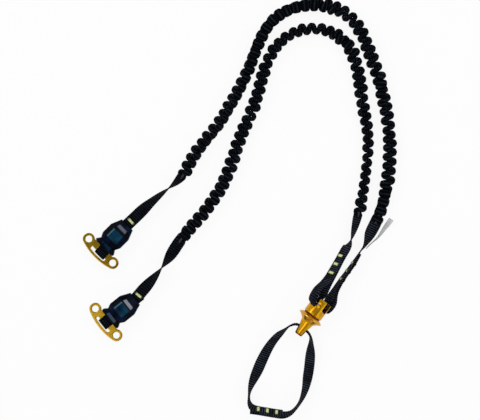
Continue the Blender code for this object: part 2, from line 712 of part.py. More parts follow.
def gather_ends(arm, route):
    """Lengths along the route where the gathered webbing starts and ends."""
    first = len(TOOL_RUN) + len(arm.flat)
    last = first + len(arm.gathered) - 1
    start = (route.length_at(first - 1) + route.length_at(first)) / 2
    end = (route.length_at(last) + route.length_at(last + 1)) / 2
    return start, end


def oval_rings(centre, normal, side, lean, half_depth, half_width):
    """Rings of eight points: flat-sided ovals that lean along the normal."""
    shape = [(1, -0.5), (1, 0.5), (0.6, 1), (-0.6, 1), (-1, 0.5), (-1, -0.5), (-0.6, -1), (0.6, -1)]
    return np.stack([
        centre + (lean + a * half_depth)[:, None] * normal + (b * half_width)[:, None] * side
        for a, b in shape], axis=1)


def round_rings(route, lengths, radius, sides):
    """Rings of points on a circle about the route."""
    centre, _, normal, side = route.frames(lengths)
    turn = 2 * math.pi * (np.arange(sides) - 0.5) / sides
    return np.stack(
        [centre + radius * (math.cos(a) * normal + math.sin(a) * side) for a in turn], axis=1)


def add_gathered_sleeve(arm, route):
    """The gathered webbing, whose beads lean left and right in turn, and the elastic in its bore."""
    start, end = gather_ends(arm, route)
    pitches = round((end - start - 2 * CUFF_LENGTH) / RUFFLE_PITCH)
    ruffled = np.linspace(start + CUFF_LENGTH, end - CUFF_LENGTH, 4 * pitches + 1)
    phase = np.arange(4 * pitches + 1) % 4
    bead = (phase % 2 == 1).astype(float)
    lengths = np.concatenate([[start, start + CUFF_STEP], ruffled, [end - CUFF_STEP, end]])
    pad = [0.0, 0.0]
    lean = RUFFLE_LEAN * np.concatenate([pad, bead * (2.0 - phase), pad])
    depth = np.concatenate([[CUFF_HALF_DEPTH] * 2, mix(WAIST_HALF_DEPTH, BEAD_HALF_DEPTH, bead),
                            [CUFF_HALF_DEPTH] * 2])
    width = np.concatenate([[CUFF_HALF_WIDTH] * 2, mix(WAIST_HALF_WIDTH, BEAD_HALF_WIDTH, bead),
                            [CUFF_HALF_WIDTH] * 2])
    centre, _, normal, side = route.frames(lengths)
    outer = oval_rings(centre, normal, side, lean, depth, width)
    outer[:, :, 2] = np.maximum(outer[:, :, 2], 0.0)
    steps = spaced(start, end, CORE_STEP)
    bore = round_rings(route, steps, CORE_RADIUS + CORE_CLEARANCE, CORE_BORE_SIDES)
    verts, faces = bored_loft(outer, bore)
    add_object(arm.name + "_gathered_sleeve", verts, faces, WEBBING)
    verts, faces = loft(round_rings(route, steps, CORE_RADIUS, CORE_SIDES))
    add_object(arm.name + "_elastic_core", verts, faces, ELASTIC)


def stitched_leg(arm, route):
    """Rings of the leg that leaves the window in a bulge and then lies on the other leg to its end."""
    bulge = Route([(-TURN_RADIUS, 0.0, 0.0, 0.0)] + arm.bulge + [(LAYERS_MEET, LAYER_OFFSET, 0.0, 0.0)])
    steps = spaced(0.0, bulge.length, OUTER_LEG_STEP)
    line, forward, _, _ = bulge.frames(steps)
    rest = spaced(LAYERS_MEET, STITCHED_LENGTH, TAPE_STEP)[1:]
    from_pin = np.concatenate([line[:, 0], rest])
    height = np.concatenate([line[:, 1], np.full(len(rest), LAYER_OFFSET)])[:, None]
    lift = np.concatenate([line[:, 2], np.zeros(len(rest))])[:, None]
    onward = np.concatenate([forward[:, 0], np.ones(len(rest))])[:, None]
    outward = np.concatenate([forward[:, 1], np.zeros(len(rest))])[:, None]
    twist = np.radians(np.concatenate([bulge.roll_at(steps), np.zeros(len(rest))]))[:, None]

    centre, tangent, normal, side = route.frames(route.length - np.maximum(from_pin, 0.0))
    centre = centre + np.maximum(-from_pin, 0.0)[:, None] * tangent
    normal = np.cos(twist) * normal - np.sin(twist) * side
    side = np.cross(normal, tangent)
    walked = np.concatenate([steps, bulge.length + rest - LAYERS_MEET])
    width = mix(WINDOW_TAPE_WIDTH, arm.leg_width, smooth(walked, OUTER_LEG_FREE, OUTER_LEG_SPREAD))
    width = mix(width, TAPE_WIDTH, smooth(from_pin, OUTER_LEG_FLAT, LAYERS_MEET))
    thickness = np.maximum(TAPE_THICKNESS, WINDOW_TAPE_WIDTH * WINDOW_TAPE_THICKNESS / width)
    middle = centre + height * normal + lift * np.array((0.0, 0.0, 1.0))
    return tape_rings(middle, -outward * tangent - onward * normal, side, width, thickness)


def add_swivel_tape(arm, route):
    """Flat webbing from the gathered part, round the cross pin and back to its stitched end."""
    start = gather_ends(arm, route)[1] + GAP
    out = spaced(start, route.length, TAPE_STEP)
    centre, tangent, normal, side = route.frames(out)
    to_pin = route.length - out
    single = STITCHED_LENGTH + LAYER_FADE_START
    doubled = 1.0 - smooth(to_pin, single, single + LAYER_FADE)
    offset = mix(TURN_RADIUS, LAYER_OFFSET, smooth(to_pin, INNER_LEG_BUNCHED, INNER_LEG_FLAT)) * doubled
    width = mix(WINDOW_TAPE_WIDTH, TAPE_WIDTH, smooth(to_pin, INNER_LEG_BUNCHED, INNER_LEG_FLAT))
    thickness = np.maximum(TAPE_THICKNESS, WINDOW_TAPE_WIDTH * WINDOW_TAPE_THICKNESS / width)
    going = tape_rings(centre - offset[:, None] * normal, normal, side, width, thickness)

    pin, ahead, out_of_pin, across = centre[-1], tangent[-1], normal[-1], side[-1]
    turn = np.radians(np.arange(30.0, 90.0, 30.0))[:, None]
    round_pin = pin + TURN_RADIUS * (np.sin(turn) * ahead - np.cos(turn) * out_of_pin)
    turned_normal = np.cos(turn) * out_of_pin - np.sin(turn) * ahead
    turning = tape_rings(round_pin, turned_normal, across, WINDOW_TAPE_WIDTH, WINDOW_TAPE_THICKNESS)
    verts, faces = loft(np.concatenate([going, turning, stitched_leg(arm, route)]))
    add_object(arm.name + "_swivel_tape", verts, faces, WEBBING)

    lift = LAYER_OFFSET + TAPE_THICKNESS / 2 + GAP + TACK_THICKNESS / 2
    for number, distance in enumerate(SWIVEL_TACKS):
        add_tack(f"{arm.name}_swivel_tack_{number + 1}", route, route.length - distance, -lift,
                 Matrix.Identity(4), None)


def wrap_offset(x):
    """How far each leg of the tool-side webbing lies from the middle, along the sleeve."""
    round_bar = TOGGLE_THICKNESS / 2 + GAP + TAPE_THICKNESS / 2
    return mix(round_bar, LAYER_OFFSET, smooth(x, WRAP_LEGS_PART, WRAP_LEGS_MEET))


def wrap_drift(arm, x):
    """How far the tool-side webbing lies to one side of the middle, where it leaves the toggle's slot."""
    return arm.drift * (1.0 - smooth(x, TILT_X, WRAP_LEGS_MEET))


def add_toggle_tape(arm, route):
    """Webbing from its stitched end, round the toggle's bar and on to the gathered part."""
    place = tool_place(arm)
    turn_x = INNER_BAR_START + WRAP_START
    parting = np.linspace(WRAP_LEGS_PART, WRAP_LEGS_MEET, 4)
    joined = spaced(WRAP_LEGS_MEET, TOOL_RUN[0], TOOL_TAPE_STEP)[1:-1]
    leg = np.concatenate([[turn_x, TILT_X], parting, joined])
    under = np.concatenate([[TOOL_TAPE_END, TOOL_RUN[0]], leg[::-1]])
    centres, normals = [], []
    for x in under:
        centres.append((x, wrap_drift(arm, x), -wrap_offset(x)))
        normals.append((0.0, 0.0, -1.0))
    for turn in np.radians(np.arange(30.0, 180.0, 30.0)):
        outward = (-math.sin(turn), 0.0, -math.cos(turn))
        middle = np.array((turn_x, wrap_drift(arm, turn_x), 0.0))
        centres.append(middle + wrap_offset(turn_x) * np.array(outward))
        normals.append(outward)
    for x in leg:
        centres.append((x, wrap_drift(arm, x), wrap_offset(x)))
        normals.append((0.0, 0.0, 1.0))
    centres, normals = np.array(centres), np.array(normals)
    sides = np.tile((0.0, 1.0, 0.0), (len(centres), 1))
    local = tape_rings(centres, normals, sides, TAPE_WIDTH, TAPE_THICKNESS)
    sleeve_run = moved(place, local.reshape(-1, 3)).reshape(local.shape)

    lengths = spaced(0.0, gather_ends(arm, route)[0] - GAP, TAPE_STEP)
    centre, _, normal, side = route.frames(lengths)
    arm_run = tape_rings(centre, normal, side, TAPE_WIDTH, TAPE_THICKNESS)
    verts, faces = loft(np.concatenate([sleeve_run, arm_run]))
    add_object(arm.name + "_toggle_tape", verts, faces, WEBBING)
    lift = TAPE_THICKNESS / 2 + GAP + TACK_THICKNESS / 2
    add_tack(arm.name + "_toggle_tack", route, TOOL_TACK_X - TOOL_RUN[0], lift, Matrix.Identity(4), None)


def box_section(x, width, height, chamfer):
    """A ring of eight points: a box with chamfered corners, across the sleeve at x."""
    y, z = width / 2, height / 2
    return [(x, y, -z + chamfer), (x, y, z - chamfer), (x, y - chamfer, z), (x, -y + chamfer, z),
            (x, -y, z - chamfer), (x, -y, -z + chamfer), (x, -y + chamfer, -z), (x, y - chamfer, -z)]


def add_grip(arm, parent):
    """The faceted grip sleeve and the flared collar between it and the toggle."""
    height = 2 * TOGGLE_HEIGHT
    start = COLLAR_START + COLLAR_LENGTH + GAP
    end = start + SLEEVE_LENGTH
    neck_width = mix(SLEEVE_TAIL_WIDTH, SLEEVE_WIDTH, NECK_WIDTH_SHARE)
    neck_height = mix(SLEEVE_TAIL_HEIGHT, height, NECK_HEIGHT_SHARE)
    stations = [
        (start, SLEEVE_NOSE_WIDTH, SLEEVE_NOSE_HEIGHT, NOSE_CHAMFER_SHARE),
        (start + SLEEVE_NOSE_TAPER, SLEEVE_WIDTH, height, 1.0),
        (end - SLEEVE_TAIL_TAPER, SLEEVE_WIDTH, height, 1.0),
        (end - SLEEVE_TAIL_TIP, neck_width, neck_height, NECK_CHAMFER_SHARE),
        (end, SLEEVE_TAIL_WIDTH, SLEEVE_TAIL_HEIGHT, TAIL_CHAMFER_SHARE),
    ]
    outer = np.array([box_section(x, w, h, SLEEVE_CHAMFER * share) for x, w, h, share in stations])
    bore = np.array([box_section(x, BORE_WIDTH, SLEEVE_BORE_HEIGHT, BORE_CHAMFER) for x in (start, end)])
    sleeve = add_object(arm.name + "_grip_sleeve", *bored_loft(outer, bore), GRIP, parent)
    add_bevel(sleeve, SLEEVE_EDGE, 12.0)

    end = COLLAR_START + COLLAR_LENGTH
    stations = [
        (COLLAR_START, COLLAR_WIDTH, COLLAR_HEIGHT, FLARE_CHAMFER_SHARE),
        (COLLAR_START + COLLAR_LIP, COLLAR_WIDTH, COLLAR_HEIGHT, FLARE_CHAMFER_SHARE),
        (end, SLEEVE_NOSE_WIDTH, SLEEVE_NOSE_HEIGHT, NOSE_CHAMFER_SHARE),
    ]
    outer = np.array([box_section(x, w, h, SLEEVE_CHAMFER * share) for x, w, h, share in stations])
    bore = np.array(
        [box_section(x, COLLAR_BORE_WIDTH, COLLAR_BORE_HEIGHT, BORE_CHAMFER) for x in (COLLAR_START, end)])
    collar = add_object(arm.name + "_grip_collar", *bored_loft(outer, bore), GRIP, parent)
    add_bevel(collar, SLEEVE_EDGE, 12.0)


def arc(centre_x, centre_y, radius, start, end, steps):
    """Points on an arc, with its angles in degrees."""
    return [(centre_x + radius * math.cos(a), centre_y + radius * math.sin(a))
            for a in np.radians(np.linspace(start, end, steps))]


def rim_radius():
    """Radius of the toggle's outer rim, so that it runs smoothly into both lobes."""
    half = HOLE_SPACING / 2
    return (RIM_X ** 2 + half ** 2 - LOBE_RADIUS ** 2) / (2 * (-RIM_X - LOBE_RADIUS))


def toggle_outline():
    """The toggle's outline in plan: a straight inner bar, two lobes and a bowed rim."""
    half = HOLE_SPACING / 2
    radius = rim_radius()
    centre = RIM_X + radius
    meet = math.degrees(math.atan2(half, centre))
    upper = arc(0.0, half, LOBE_RADIUS, -48.0, 180.0 - meet, 14)
    rim = arc(centre, 0.0, radius, 180.0 - meet, 180.0 + meet, 14)[1:-1]
    lower = [(x, -y) for x, y in reversed(upper)]
    bar = [(INNER_BAR_END, -INNER_BAR_HALF_LENGTH), (INNER_BAR_END, INNER_BAR_HALF_LENGTH)]
    return bar + upper + rim + lower


def slot_outline():
    """The toggle's slot in plan: straight along the inner bar and bowed along the rim."""
    half = SLOT_LENGTH / 2
    radius = rim_radius() - OUTER_BAR
    centre = RIM_X + rim_radius()
    reach = math.degrees(math.asin((half - SLOT_CORNER) / radius))
    bowed = arc(centre, 0.0, radius, 180.0 - reach, 180.0 + reach, 8)
    side = bowed[0][0] + SLOT_CORNER
    return [(INNER_BAR_START, -half), (INNER_BAR_START, half), (side, half), *bowed, (side, -half)]


def add_toggle(arm, parent):
    """The gold toggle plate with its slot and two round holes, on the empty at its tilt axis."""
    shift = -TILT_X
    half = TOGGLE_THICKNESS / 2
    outline = [(x + shift, y) for x, y in toggle_outline()]
    toggle = add_object(arm.name + "_toggle", *prism(outline, -half, half), GOLD, parent)
    reach = 2 * TOGGLE_THICKNESS
    slot = [(x + shift, y) for x, y in slot_outline()]
    add_cutter(arm.name + "_slot_cut", *prism(slot, -reach, reach), toggle)
    for number, y in enumerate((-HOLE_SPACING / 2, HOLE_SPACING / 2)):
        hole = arc(shift, y, HOLE_RADIUS, 0.0, 345.0, 24)
        add_cutter(f"{arm.name}_hole_cut_{number + 1}", *prism(hole, -reach, reach), toggle)
    add_bevel(toggle, TOGGLE_BEVEL)


def add_arm(arm):
    """One arm, from its toggle to its cross pin."""
    route = arm_route(arm)
    place = tool_place(arm)
    grip = add_empty(arm.name + "_grip_place", place)
    tilt = add_empty(arm.name + "_toggle_place", place @ Matrix.Translation((TILT_X, 0.0, 0.0)))
    add_gathered_sleeve(arm, route)
    add_swivel_tape(arm, route)
    add_toggle_tape(arm, route)
    add_grip(arm, grip)
    add_toggle(arm, tilt)


def add_label():
    """The small tab sewn in at the outer arm's stitched end."""
    route = Route(LABEL_ROUTE)
    centre, _, normal, side = route.frames(spaced(0.0, route.length, LABEL_STEP))
    verts, faces = loft(tape_rings(centre, normal, side, LABEL_WIDTH, LABEL_THICKNESS))
    add_object("label_tab", verts, faces, LABEL)


def main():
    """Clear the scene and build the leash."""
    for obj in list(bpy.data.objects):
        bpy.data.objects.remove(obj, do_unlink=True)
    swivel = add_empty("swivel_place", SWIVEL_PLACE)
    add_swivel_tail(swivel)
    add_swivel_head(swivel)
    add_swivel_small_parts(swivel)
    add_harness_loop(add_empty("eye_place", EYE_PLACE))
    for arm in ARMS:
        add_arm(arm)
    add_label()


main()
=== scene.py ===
import logging
import math
from dataclasses import dataclass
from enum import Enum

import bmesh
import bpy
import numpy as np
from mathutils import Matrix, Vector


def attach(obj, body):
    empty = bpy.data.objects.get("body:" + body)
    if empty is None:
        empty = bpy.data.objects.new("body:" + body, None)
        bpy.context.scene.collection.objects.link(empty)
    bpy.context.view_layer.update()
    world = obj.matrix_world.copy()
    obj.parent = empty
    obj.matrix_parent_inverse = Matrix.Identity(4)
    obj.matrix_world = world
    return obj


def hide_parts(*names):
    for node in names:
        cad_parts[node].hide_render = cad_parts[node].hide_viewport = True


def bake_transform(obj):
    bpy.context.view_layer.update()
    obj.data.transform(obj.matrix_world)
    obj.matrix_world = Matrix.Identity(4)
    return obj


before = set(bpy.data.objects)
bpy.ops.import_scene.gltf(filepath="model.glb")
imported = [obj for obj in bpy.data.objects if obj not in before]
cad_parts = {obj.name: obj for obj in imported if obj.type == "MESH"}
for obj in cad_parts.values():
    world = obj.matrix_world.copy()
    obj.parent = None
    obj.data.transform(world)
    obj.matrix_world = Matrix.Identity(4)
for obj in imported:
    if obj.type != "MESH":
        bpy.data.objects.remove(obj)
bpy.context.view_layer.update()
LOG = logging.getLogger("leash")
Array = np.ndarray
Material = bpy.types.Material
Piece = bpy.types.Object

# The gap kept between neighbours, and the width and thickness of the flat webbing
GAP = 0.0003
TAPE_WIDTH = 0.014
TAPE_THICKNESS = 0.0016
LAYER_OFFSET = (TAPE_THICKNESS + GAP) / 2

# Routes, given along the webbing: x, y, z and the roll in degrees about the route.
# A roll of 0 stands the webbing on its edge and 90 lays it face up. Each arm runs from its toggle.
OUTER_FLAT = [
    (-0.0825, 0.0719, 0.01195, 90), (-0.0757, 0.0785, 0.0116, 82), (-0.0669, 0.0867, 0.0108, 55),
    (-0.0564, 0.0957, 0.0096, 33), (-0.0457, 0.1043, 0.0084, 8), (-0.0352, 0.1128, 0.0076, -28),
]
OUTER_GATHERED = [
    (-0.0266, 0.1226, 0.0078, -50), (-0.0195, 0.1339, 0.0082, -50), (-0.0040, 0.1565, 0.0085, -50),
    (0.0134, 0.1780, 0.0085, -50), (0.0278, 0.2015, 0.0085, -52), (0.0407, 0.2259, 0.0086, -62),
    (0.0511, 0.2512, 0.0087, -74), (0.0614, 0.2768, 0.0088, -84), (0.0769, 0.2995, 0.0088, -84),
    (0.1007, 0.3129, 0.0088, -80), (0.1282, 0.3165, 0.0085, -60), (0.1550, 0.3093, 0.0070, -8),
    (0.1744, 0.2903, 0.0068, 0), (0.1858, 0.2650, 0.0068, 0), (0.1939, 0.2432, 0.0072, 12),
    (0.1995, 0.2248, 0.0080, 90), (0.2046, 0.2024, 0.0082, 150), (0.2092, 0.1715, 0.0080, 155),
    (0.2103, 0.1439, 0.0080, 152), (0.2081, 0.1163, 0.0082, 135), (0.2038, 0.0943, 0.0080, 100),
    (0.1978, 0.0757, 0.0078, 90),
]
OUTER_DOUBLED = [
    (0.1928, 0.0640, 0.0077, 88), (0.1876, 0.0536, 0.0076, 70), (0.1834, 0.0440, 0.0077, 32),
    (0.1762, 0.0312, 0.0077, 4), (0.1657, 0.0151, 0.0077, -7), (0.1583, 0.0051, 0.0078, -9),
    (0.1508, -0.0058, 0.0080, -14), (0.1426, -0.0190, 0.0083, -28),
]
INNER_FLAT = [
    (-0.0767, -0.0152, 0.01195, 90), (-0.0700, -0.0075, 0.0115, 74), (-0.0614, 0.0023, 0.0104, 42),
    (-0.0528, 0.0131, 0.0092, 5), (-0.0447, 0.0243, 0.0082, -42), (-0.0367, 0.0366, 0.0076, -80),
]
INNER_GATHERED = [
    (-0.0280, 0.0494, 0.0082, -74), (-0.0118, 0.0683, 0.0086, -64), (0.0055, 0.0899, 0.0086, -64),
    (0.0198, 0.1135, 0.0086, -60), (0.0303, 0.1391, 0.0082, -34), (0.0390, 0.1654, 0.0074, -8),
    (0.0500, 0.1907, 0.0068, 0), (0.0591, 0.2167, 0.0068, 0), (0.0665, 0.2431, 0.0068, 0),
    (0.0789, 0.2676, 0.0068, 0), (0.1003, 0.2846, 0.0068, 0), (0.1271, 0.2891, 0.0068, 0),
    (0.1456, 0.2838, 0.0071, -10), (0.1600, 0.2723, 0.0080, -85), (0.1686, 0.2566, 0.0080, -150),
    (0.1749, 0.2334, 0.0070, -178), (0.1791, 0.2025, 0.0068, -180), (0.1841, 0.1756, 0.0068, -180),
    (0.1851, 0.1482, 0.0068, -180), (0.1822, 0.1207, 0.0070, -178), (0.1787, 0.0966, 0.0075, -160),
    (0.1757, 0.0838, 0.0077, -136),
]
INNER_DOUBLED = [
    (0.1728, 0.0722, 0.0077, -130), (0.1700, 0.0612, 0.0077, -142), (0.1676, 0.0526, 0.0079, -158),
    (0.1650, 0.0452, 0.0082, -180), (0.1617, 0.0396, 0.0086, -204), (0.1553, 0.0289, 0.0097, -211),
    (0.1486, 0.0170, 0.0114, -213), (0.1421, 0.0058, 0.0140, -219), (0.1356, -0.0056, 0.0172, -224),
]
# The harness loop, from its lapped end: along the bottom, up the right side to the eye, down the left
LOOP_RIGHT = [
    (0.0496, -0.1494, 0.0069, 27), (0.0582, -0.1505, 0.0069, 27), (0.0686, -0.1523, 0.0069, 27),
    (0.0789, -0.1540, 0.0069, 27), (0.0881, -0.1549, 0.0070, 24), (0.0957, -0.1528, 0.0072, 12),
    (0.1010, -0.1483, 0.0073, 5), (0.1065, -0.1409, 0.0073, 6), (0.1107, -0.1320, 0.0071, 18),
    (0.1137, -0.1225, 0.0066, 32), (0.1157, -0.1121, 0.0060, 46), (0.1174, -0.1017, 0.0056, 50),
    (0.1185, -0.0912, 0.0060, 50), (0.1194, -0.0808, 0.0076, 38), (0.1199, -0.0716, 0.0104, 16),
    (0.1191, -0.0655, 0.0130, 6),
]
LOOP_LEFT = [
    (0.0955, -0.0517, 0.0130, 6), (0.0900, -0.0557, 0.0110, 16), (0.0838, -0.0612, 0.0092, 34),
    (0.0773, -0.0684, 0.0074, 44), (0.0714, -0.0768, 0.0060, 52), (0.0664, -0.0859, 0.0050, 60),
    (0.0620, -0.0953, 0.0044, 66), (0.0578, -0.1049, 0.0048, 62), (0.0535, -0.1143, 0.0058, 46),
    (0.0501, -0.1237, 0.0068, 24), (0.0484, -0.1329, 0.0073, 8), (0.0486, -0.1405, 0.0074, 14),
    (0.0518, -0.1460, 0.0077, 24),
]
# Lengths along the loop's own start on which its other end is laid and stitched
LOOP_OVERLAP = (0.009, 0.019, 0.029, 0.038)

# Each stitched leg's bulge, from its cross pin outwards: distance towards the arm, height over the
# route, lift over the floor and extra roll
OUTER_BULGE = [
    (-0.0030, 0.0024, 0.0000, 1), (-0.0020, 0.0046, 0.0006, 3), (0.0010, 0.0064, 0.0016, 6),
    (0.0050, 0.0072, 0.0026, 8), (0.0090, 0.0070, 0.0030, 9), (0.0150, 0.0054, 0.0022, 8),
    (0.0240, 0.0025, 0.0006, 4),
]
INNER_BULGE = [
    (-0.0030, 0.0026, 0.0, 1), (-0.0016, 0.0058, 0.0, 4), (0.0016, 0.0082, 0.0, 8),
    (0.0070, 0.0094, 0.0, 10), (0.0130, 0.0090, 0.0, 8), (0.0200, 0.0060, 0.0, 4),
    (0.0275, 0.0023, 0.0, 1),
]

# How the folds change along the gathered webbing: share of its length, the part of their reach moved
# from one edge of the webbing to the other, and their reach in all
OUTER_FOLDS = ((0.0, -0.1, 0.95), (0.08, -0.45, 1.0), (0.22, -0.4, 1.0), (0.32, 0.0, 0.85),
               (0.46, 0.0, 0.80), (0.54, 0.0, 0.90), (0.68, 0.0, 1.0), (0.74, 0.0, 0.85),
               (0.80, 0.0, 0.70), (0.86, 0.0, 0.80), (1.0, 0.0, 0.90))
INNER_FOLDS = ((0.0, -0.1, 0.88), (0.2, -0.15, 0.96), (0.3, 0.0, 0.98), (0.42, 0.0, 0.90),
               (0.48, 0.0, 0.74), (0.62, 0.0, 0.74), (0.70, 0.0, 0.96), (0.76, 0.0, 0.90),
               (0.82, 0.0, 0.74), (0.87, 0.0, 0.64), (1.0, 0.0, 0.64))
# The label, from the seam outwards
LABEL_ROUTE = [
    (0.1831, 0.0363, 0.0076, 0), (0.1914, 0.0444, 0.0074, 8), (0.1990, 0.0522, 0.0066, 24),
    (0.2061, 0.0616, 0.0056, 56), (0.2123, 0.0701, 0.0048, 85),
]


class Slot(Enum):
    """The record's material slots."""

    WEBBING = "webbing"
    ELASTIC = "elastic"
    THREAD = "thread"
    GOLD = "gold"
    STEEL = "steel"
    GROOVE = "groove"
    GRIP = "grip"
    LABEL = "label"


class Pattern(Enum):
    """Attributes that the materials read from a piece's own mesh.

    WEAVE holds places across and along webbing and thread, and a thread's painted sheen, or a grip's marks
    for its panel, painted reflection bands and painted rim highlight. The other attribute holds how sharp an
    edge is, for wear and painted edge light, and the places of painted shade.
    """

    WEAVE = "weave"
    WEAR_AND_LIGHT = "wear"


def smooth(value: "Array | float", start: float, end: float) -> "Array | float":
    """Go from 0 at start to 1 at end: with the share u of the way, 3u² - 2u³."""
    share = np.clip((value - start) / (end - start), 0.0, 1.0)
    return share * share * (3.0 - 2.0 * share)


def mix(start: "Array | float", end: "Array | float", share: "Array | float") -> "Array | float":
    """Blend two values: start + (end - start) times the share."""
    return start + (end - start) * share


def spaced(start: float, end: float, step: float) -> Array:
    """Evenly spaced values from start to end, no more than a step apart."""
    return np.linspace(start, end, max(2, math.ceil(abs(end - start) / step) + 1))


def along(points: Array) -> Array:
    """Length along a line of points, from its first point."""
    steps = np.linalg.norm(np.diff(points, axis=0), axis=1)
    return np.concatenate([[0.0], np.cumsum(steps)])


def off_floor(height: Array, soft: float = 0.0015) -> Array:
    """Heights kept over the floor: below soft, soft times e to the power (height - soft) / soft."""
    return np.where(height > soft, height, soft * np.exp(np.minimum(height / soft - 1.0, 0.0)))


def arc(centre: tuple, radius: float, start: float, end: float, steps: int) -> Array:
    """Points on an arc in plan, with its angles in degrees.

    Args:
        centre: x and y of the arc's centre.
        radius: The arc's radius.
        start: First angle.
        end: Last angle.
        steps: How many points.

    Returns:
        Points of x and y, centre + radius times (cos, sin) of the angle.
    """
    turn = np.radians(np.linspace(start, end, steps))
    return np.stack([centre[0] + radius * np.cos(turn), centre[1] + radius * np.sin(turn)], axis=1)


def moved(place: Matrix, points: Array) -> Array:
    """Points carried by a matrix, in an array of any shape whose last axis is x, y and z."""
    matrix = np.array(place)
    return points @ matrix[:3, :3].T + matrix[:3, 3]


# Shader maths

class Value:
    """A shader socket whose maths is written as Python expressions."""

    def __init__(self, graph: "Graph", socket: bpy.types.NodeSocket) -> None:
        """Keep the socket and the graph that it is in."""
        self.graph = graph
        self.socket = socket

    def math(self, operation: str, *values: "Value | float") -> "Value":
        """A Math node on this value and the others."""
        inputs = dict(enumerate((self, *values)))
        return self.graph.node("ShaderNodeMath", {"operation": operation}, inputs)

    def __add__(self, other: "Value | float") -> "Value":
        """This value plus another."""
        return self.math("ADD", other)

    def __sub__(self, other: "Value | float") -> "Value":
        """This value less another."""
        return self.math("SUBTRACT", other)

    def __rsub__(self, other: float) -> "Value":
        """A number less this value."""
        return self.graph.node("ShaderNodeMath", {"operation": "SUBTRACT"}, {0: other, 1: self})

    def __mul__(self, other: "Value | float") -> "Value":
        """This value times another."""
        return self.math("MULTIPLY", other)

    __radd__ = __add__
    __rmul__ = __mul__

    def __truediv__(self, other: "Value | float") -> "Value":
        """This value divided by another."""
        return self.math("DIVIDE", other)

    def __pow__(self, other: "Value | float") -> "Value":
        """This value to a power."""
        return self.math("POWER", other)

    def clamp(self) -> "Value":
        """This value kept from 0 to 1."""
        return self.graph.node("ShaderNodeClamp", {}, {"Value": self})

    def wave(self) -> "Value":
        """A wave from 0 to 1 with one crest for each unit: half of 1 + cos of 2 pi times the value."""
        return (self * (2 * math.pi)).math("COSINE") * 0.5 + 0.5


class Graph:
    """A tree of shader nodes."""

    def __init__(self, tree: bpy.types.NodeTree) -> None:
        """Keep the tree."""
        self.tree = tree

    def node(self, kind: str, settings: dict, inputs: dict, output: "int | str" = 0) -> Value:
        """Add any node.

        Args:
            kind: The node's type.
            settings: The node's own settings, set first; "stops" are a ramp's places and colours.
            inputs: Values or links of its sockets, by their index or name.
            output: The socket that is returned.

        Returns:
            The node's output.
        """
        node = self.tree.nodes.new(kind)
        for name, setting in settings.items():
            if name == "stops":
                self._fill(node.color_ramp, setting)
            else:
                setattr(node, name, setting)
        for name, value in inputs.items():
            if isinstance(value, Value):
                self.tree.links.new(value.socket, node.inputs[name])
            else:
                node.inputs[name].default_value = value
        return Value(self, node.outputs[output])

    @staticmethod
    def _fill(ramp: bpy.types.ColorRamp, stops: list) -> None:
        """Give a colour ramp its stops.

        Args:
            ramp: The ramp.
            stops: Their places and colours.
        """
        while len(ramp.elements) < len(stops):
            ramp.elements.new(1.0)
        for element, (place, colour) in zip(ramp.elements, stops):
            element.position = place
            element.color = (*colour, 1.0)

    def attribute(self, pattern: Pattern) -> Value:
        """One of the piece's own attributes, as a vector."""
        return self.node("ShaderNodeAttribute", {"attribute_name": pattern.value}, {}, "Vector")

    def place(self) -> Value:
        """Object coordinates."""
        return self.node("ShaderNodeTexCoord", {}, {}, "Object")

    def part(self, vector: Value, axis: str) -> Value:
        """One component of a vector."""
        return self.node("ShaderNodeSeparateXYZ", {}, {0: vector}, axis)

    def noise(self, vector: Value, scale: float, detail: float = 2.0, roughness: float = 0.5) -> Value:
        """Noise from 0 to 1, with a scale in features to the metre."""
        return self.node("ShaderNodeTexNoise", {},
                         {"Vector": vector, "Scale": scale, "Detail": detail, "Roughness": roughness})

    def stretched(self, vector: Value, scale: tuple) -> Value:
        """A vector scaled unlike along its axes."""
        return self.node("ShaderNodeMapping", {}, {"Vector": vector, "Scale": scale})

    def blend(self, low: "tuple | Value", high: "tuple | Value", share: Value) -> Value:
        """A colour between two.

        Args:
            low: The colour at 0.
            high: The colour at 1.
            share: How far from low to high.

        Returns:
            The colour.
        """
        colours = [(*c, 1.0) if isinstance(c, tuple) else c for c in (low, high)]
        settings = {"data_type": "RGBA", "clamp_factor": True}
        return self.node("ShaderNodeMix", settings, {0: share, 6: colours[0], 7: colours[1]}, 2)

    def bump(self, height: Value, distance: float) -> Value:
        """A normal from a height in units of a distance in metres."""
        return self.node("ShaderNodeBump", {}, {"Height": height, "Distance": distance})


class Surface(Graph):
    """A material's nodes, around one Principled shader."""

    def __init__(self, name: str) -> None:
        """Start a material.

        Args:
            name: The name.
        """
        self.material = bpy.data.materials.new(name)
        self.material.use_nodes = True
        super().__init__(self.material.node_tree)
        self.shader = self.tree.nodes["Principled BSDF"]

    def finish(self, **sockets: "Value | float | tuple") -> Material:
        """Set the shader's sockets.

        Args:
            sockets: Values or links by socket name, with underscores for spaces.

        Returns:
            The material.
        """
        for name, value in sockets.items():
            socket = self.shader.inputs[name.replace("_", " ")]
            if isinstance(value, Value):
                self.tree.links.new(value.socket, socket)
            else:
                socket.default_value = value
        return self.material


# Finishes: a scale is in features to the metre, and a relief is a bump's distance in metres

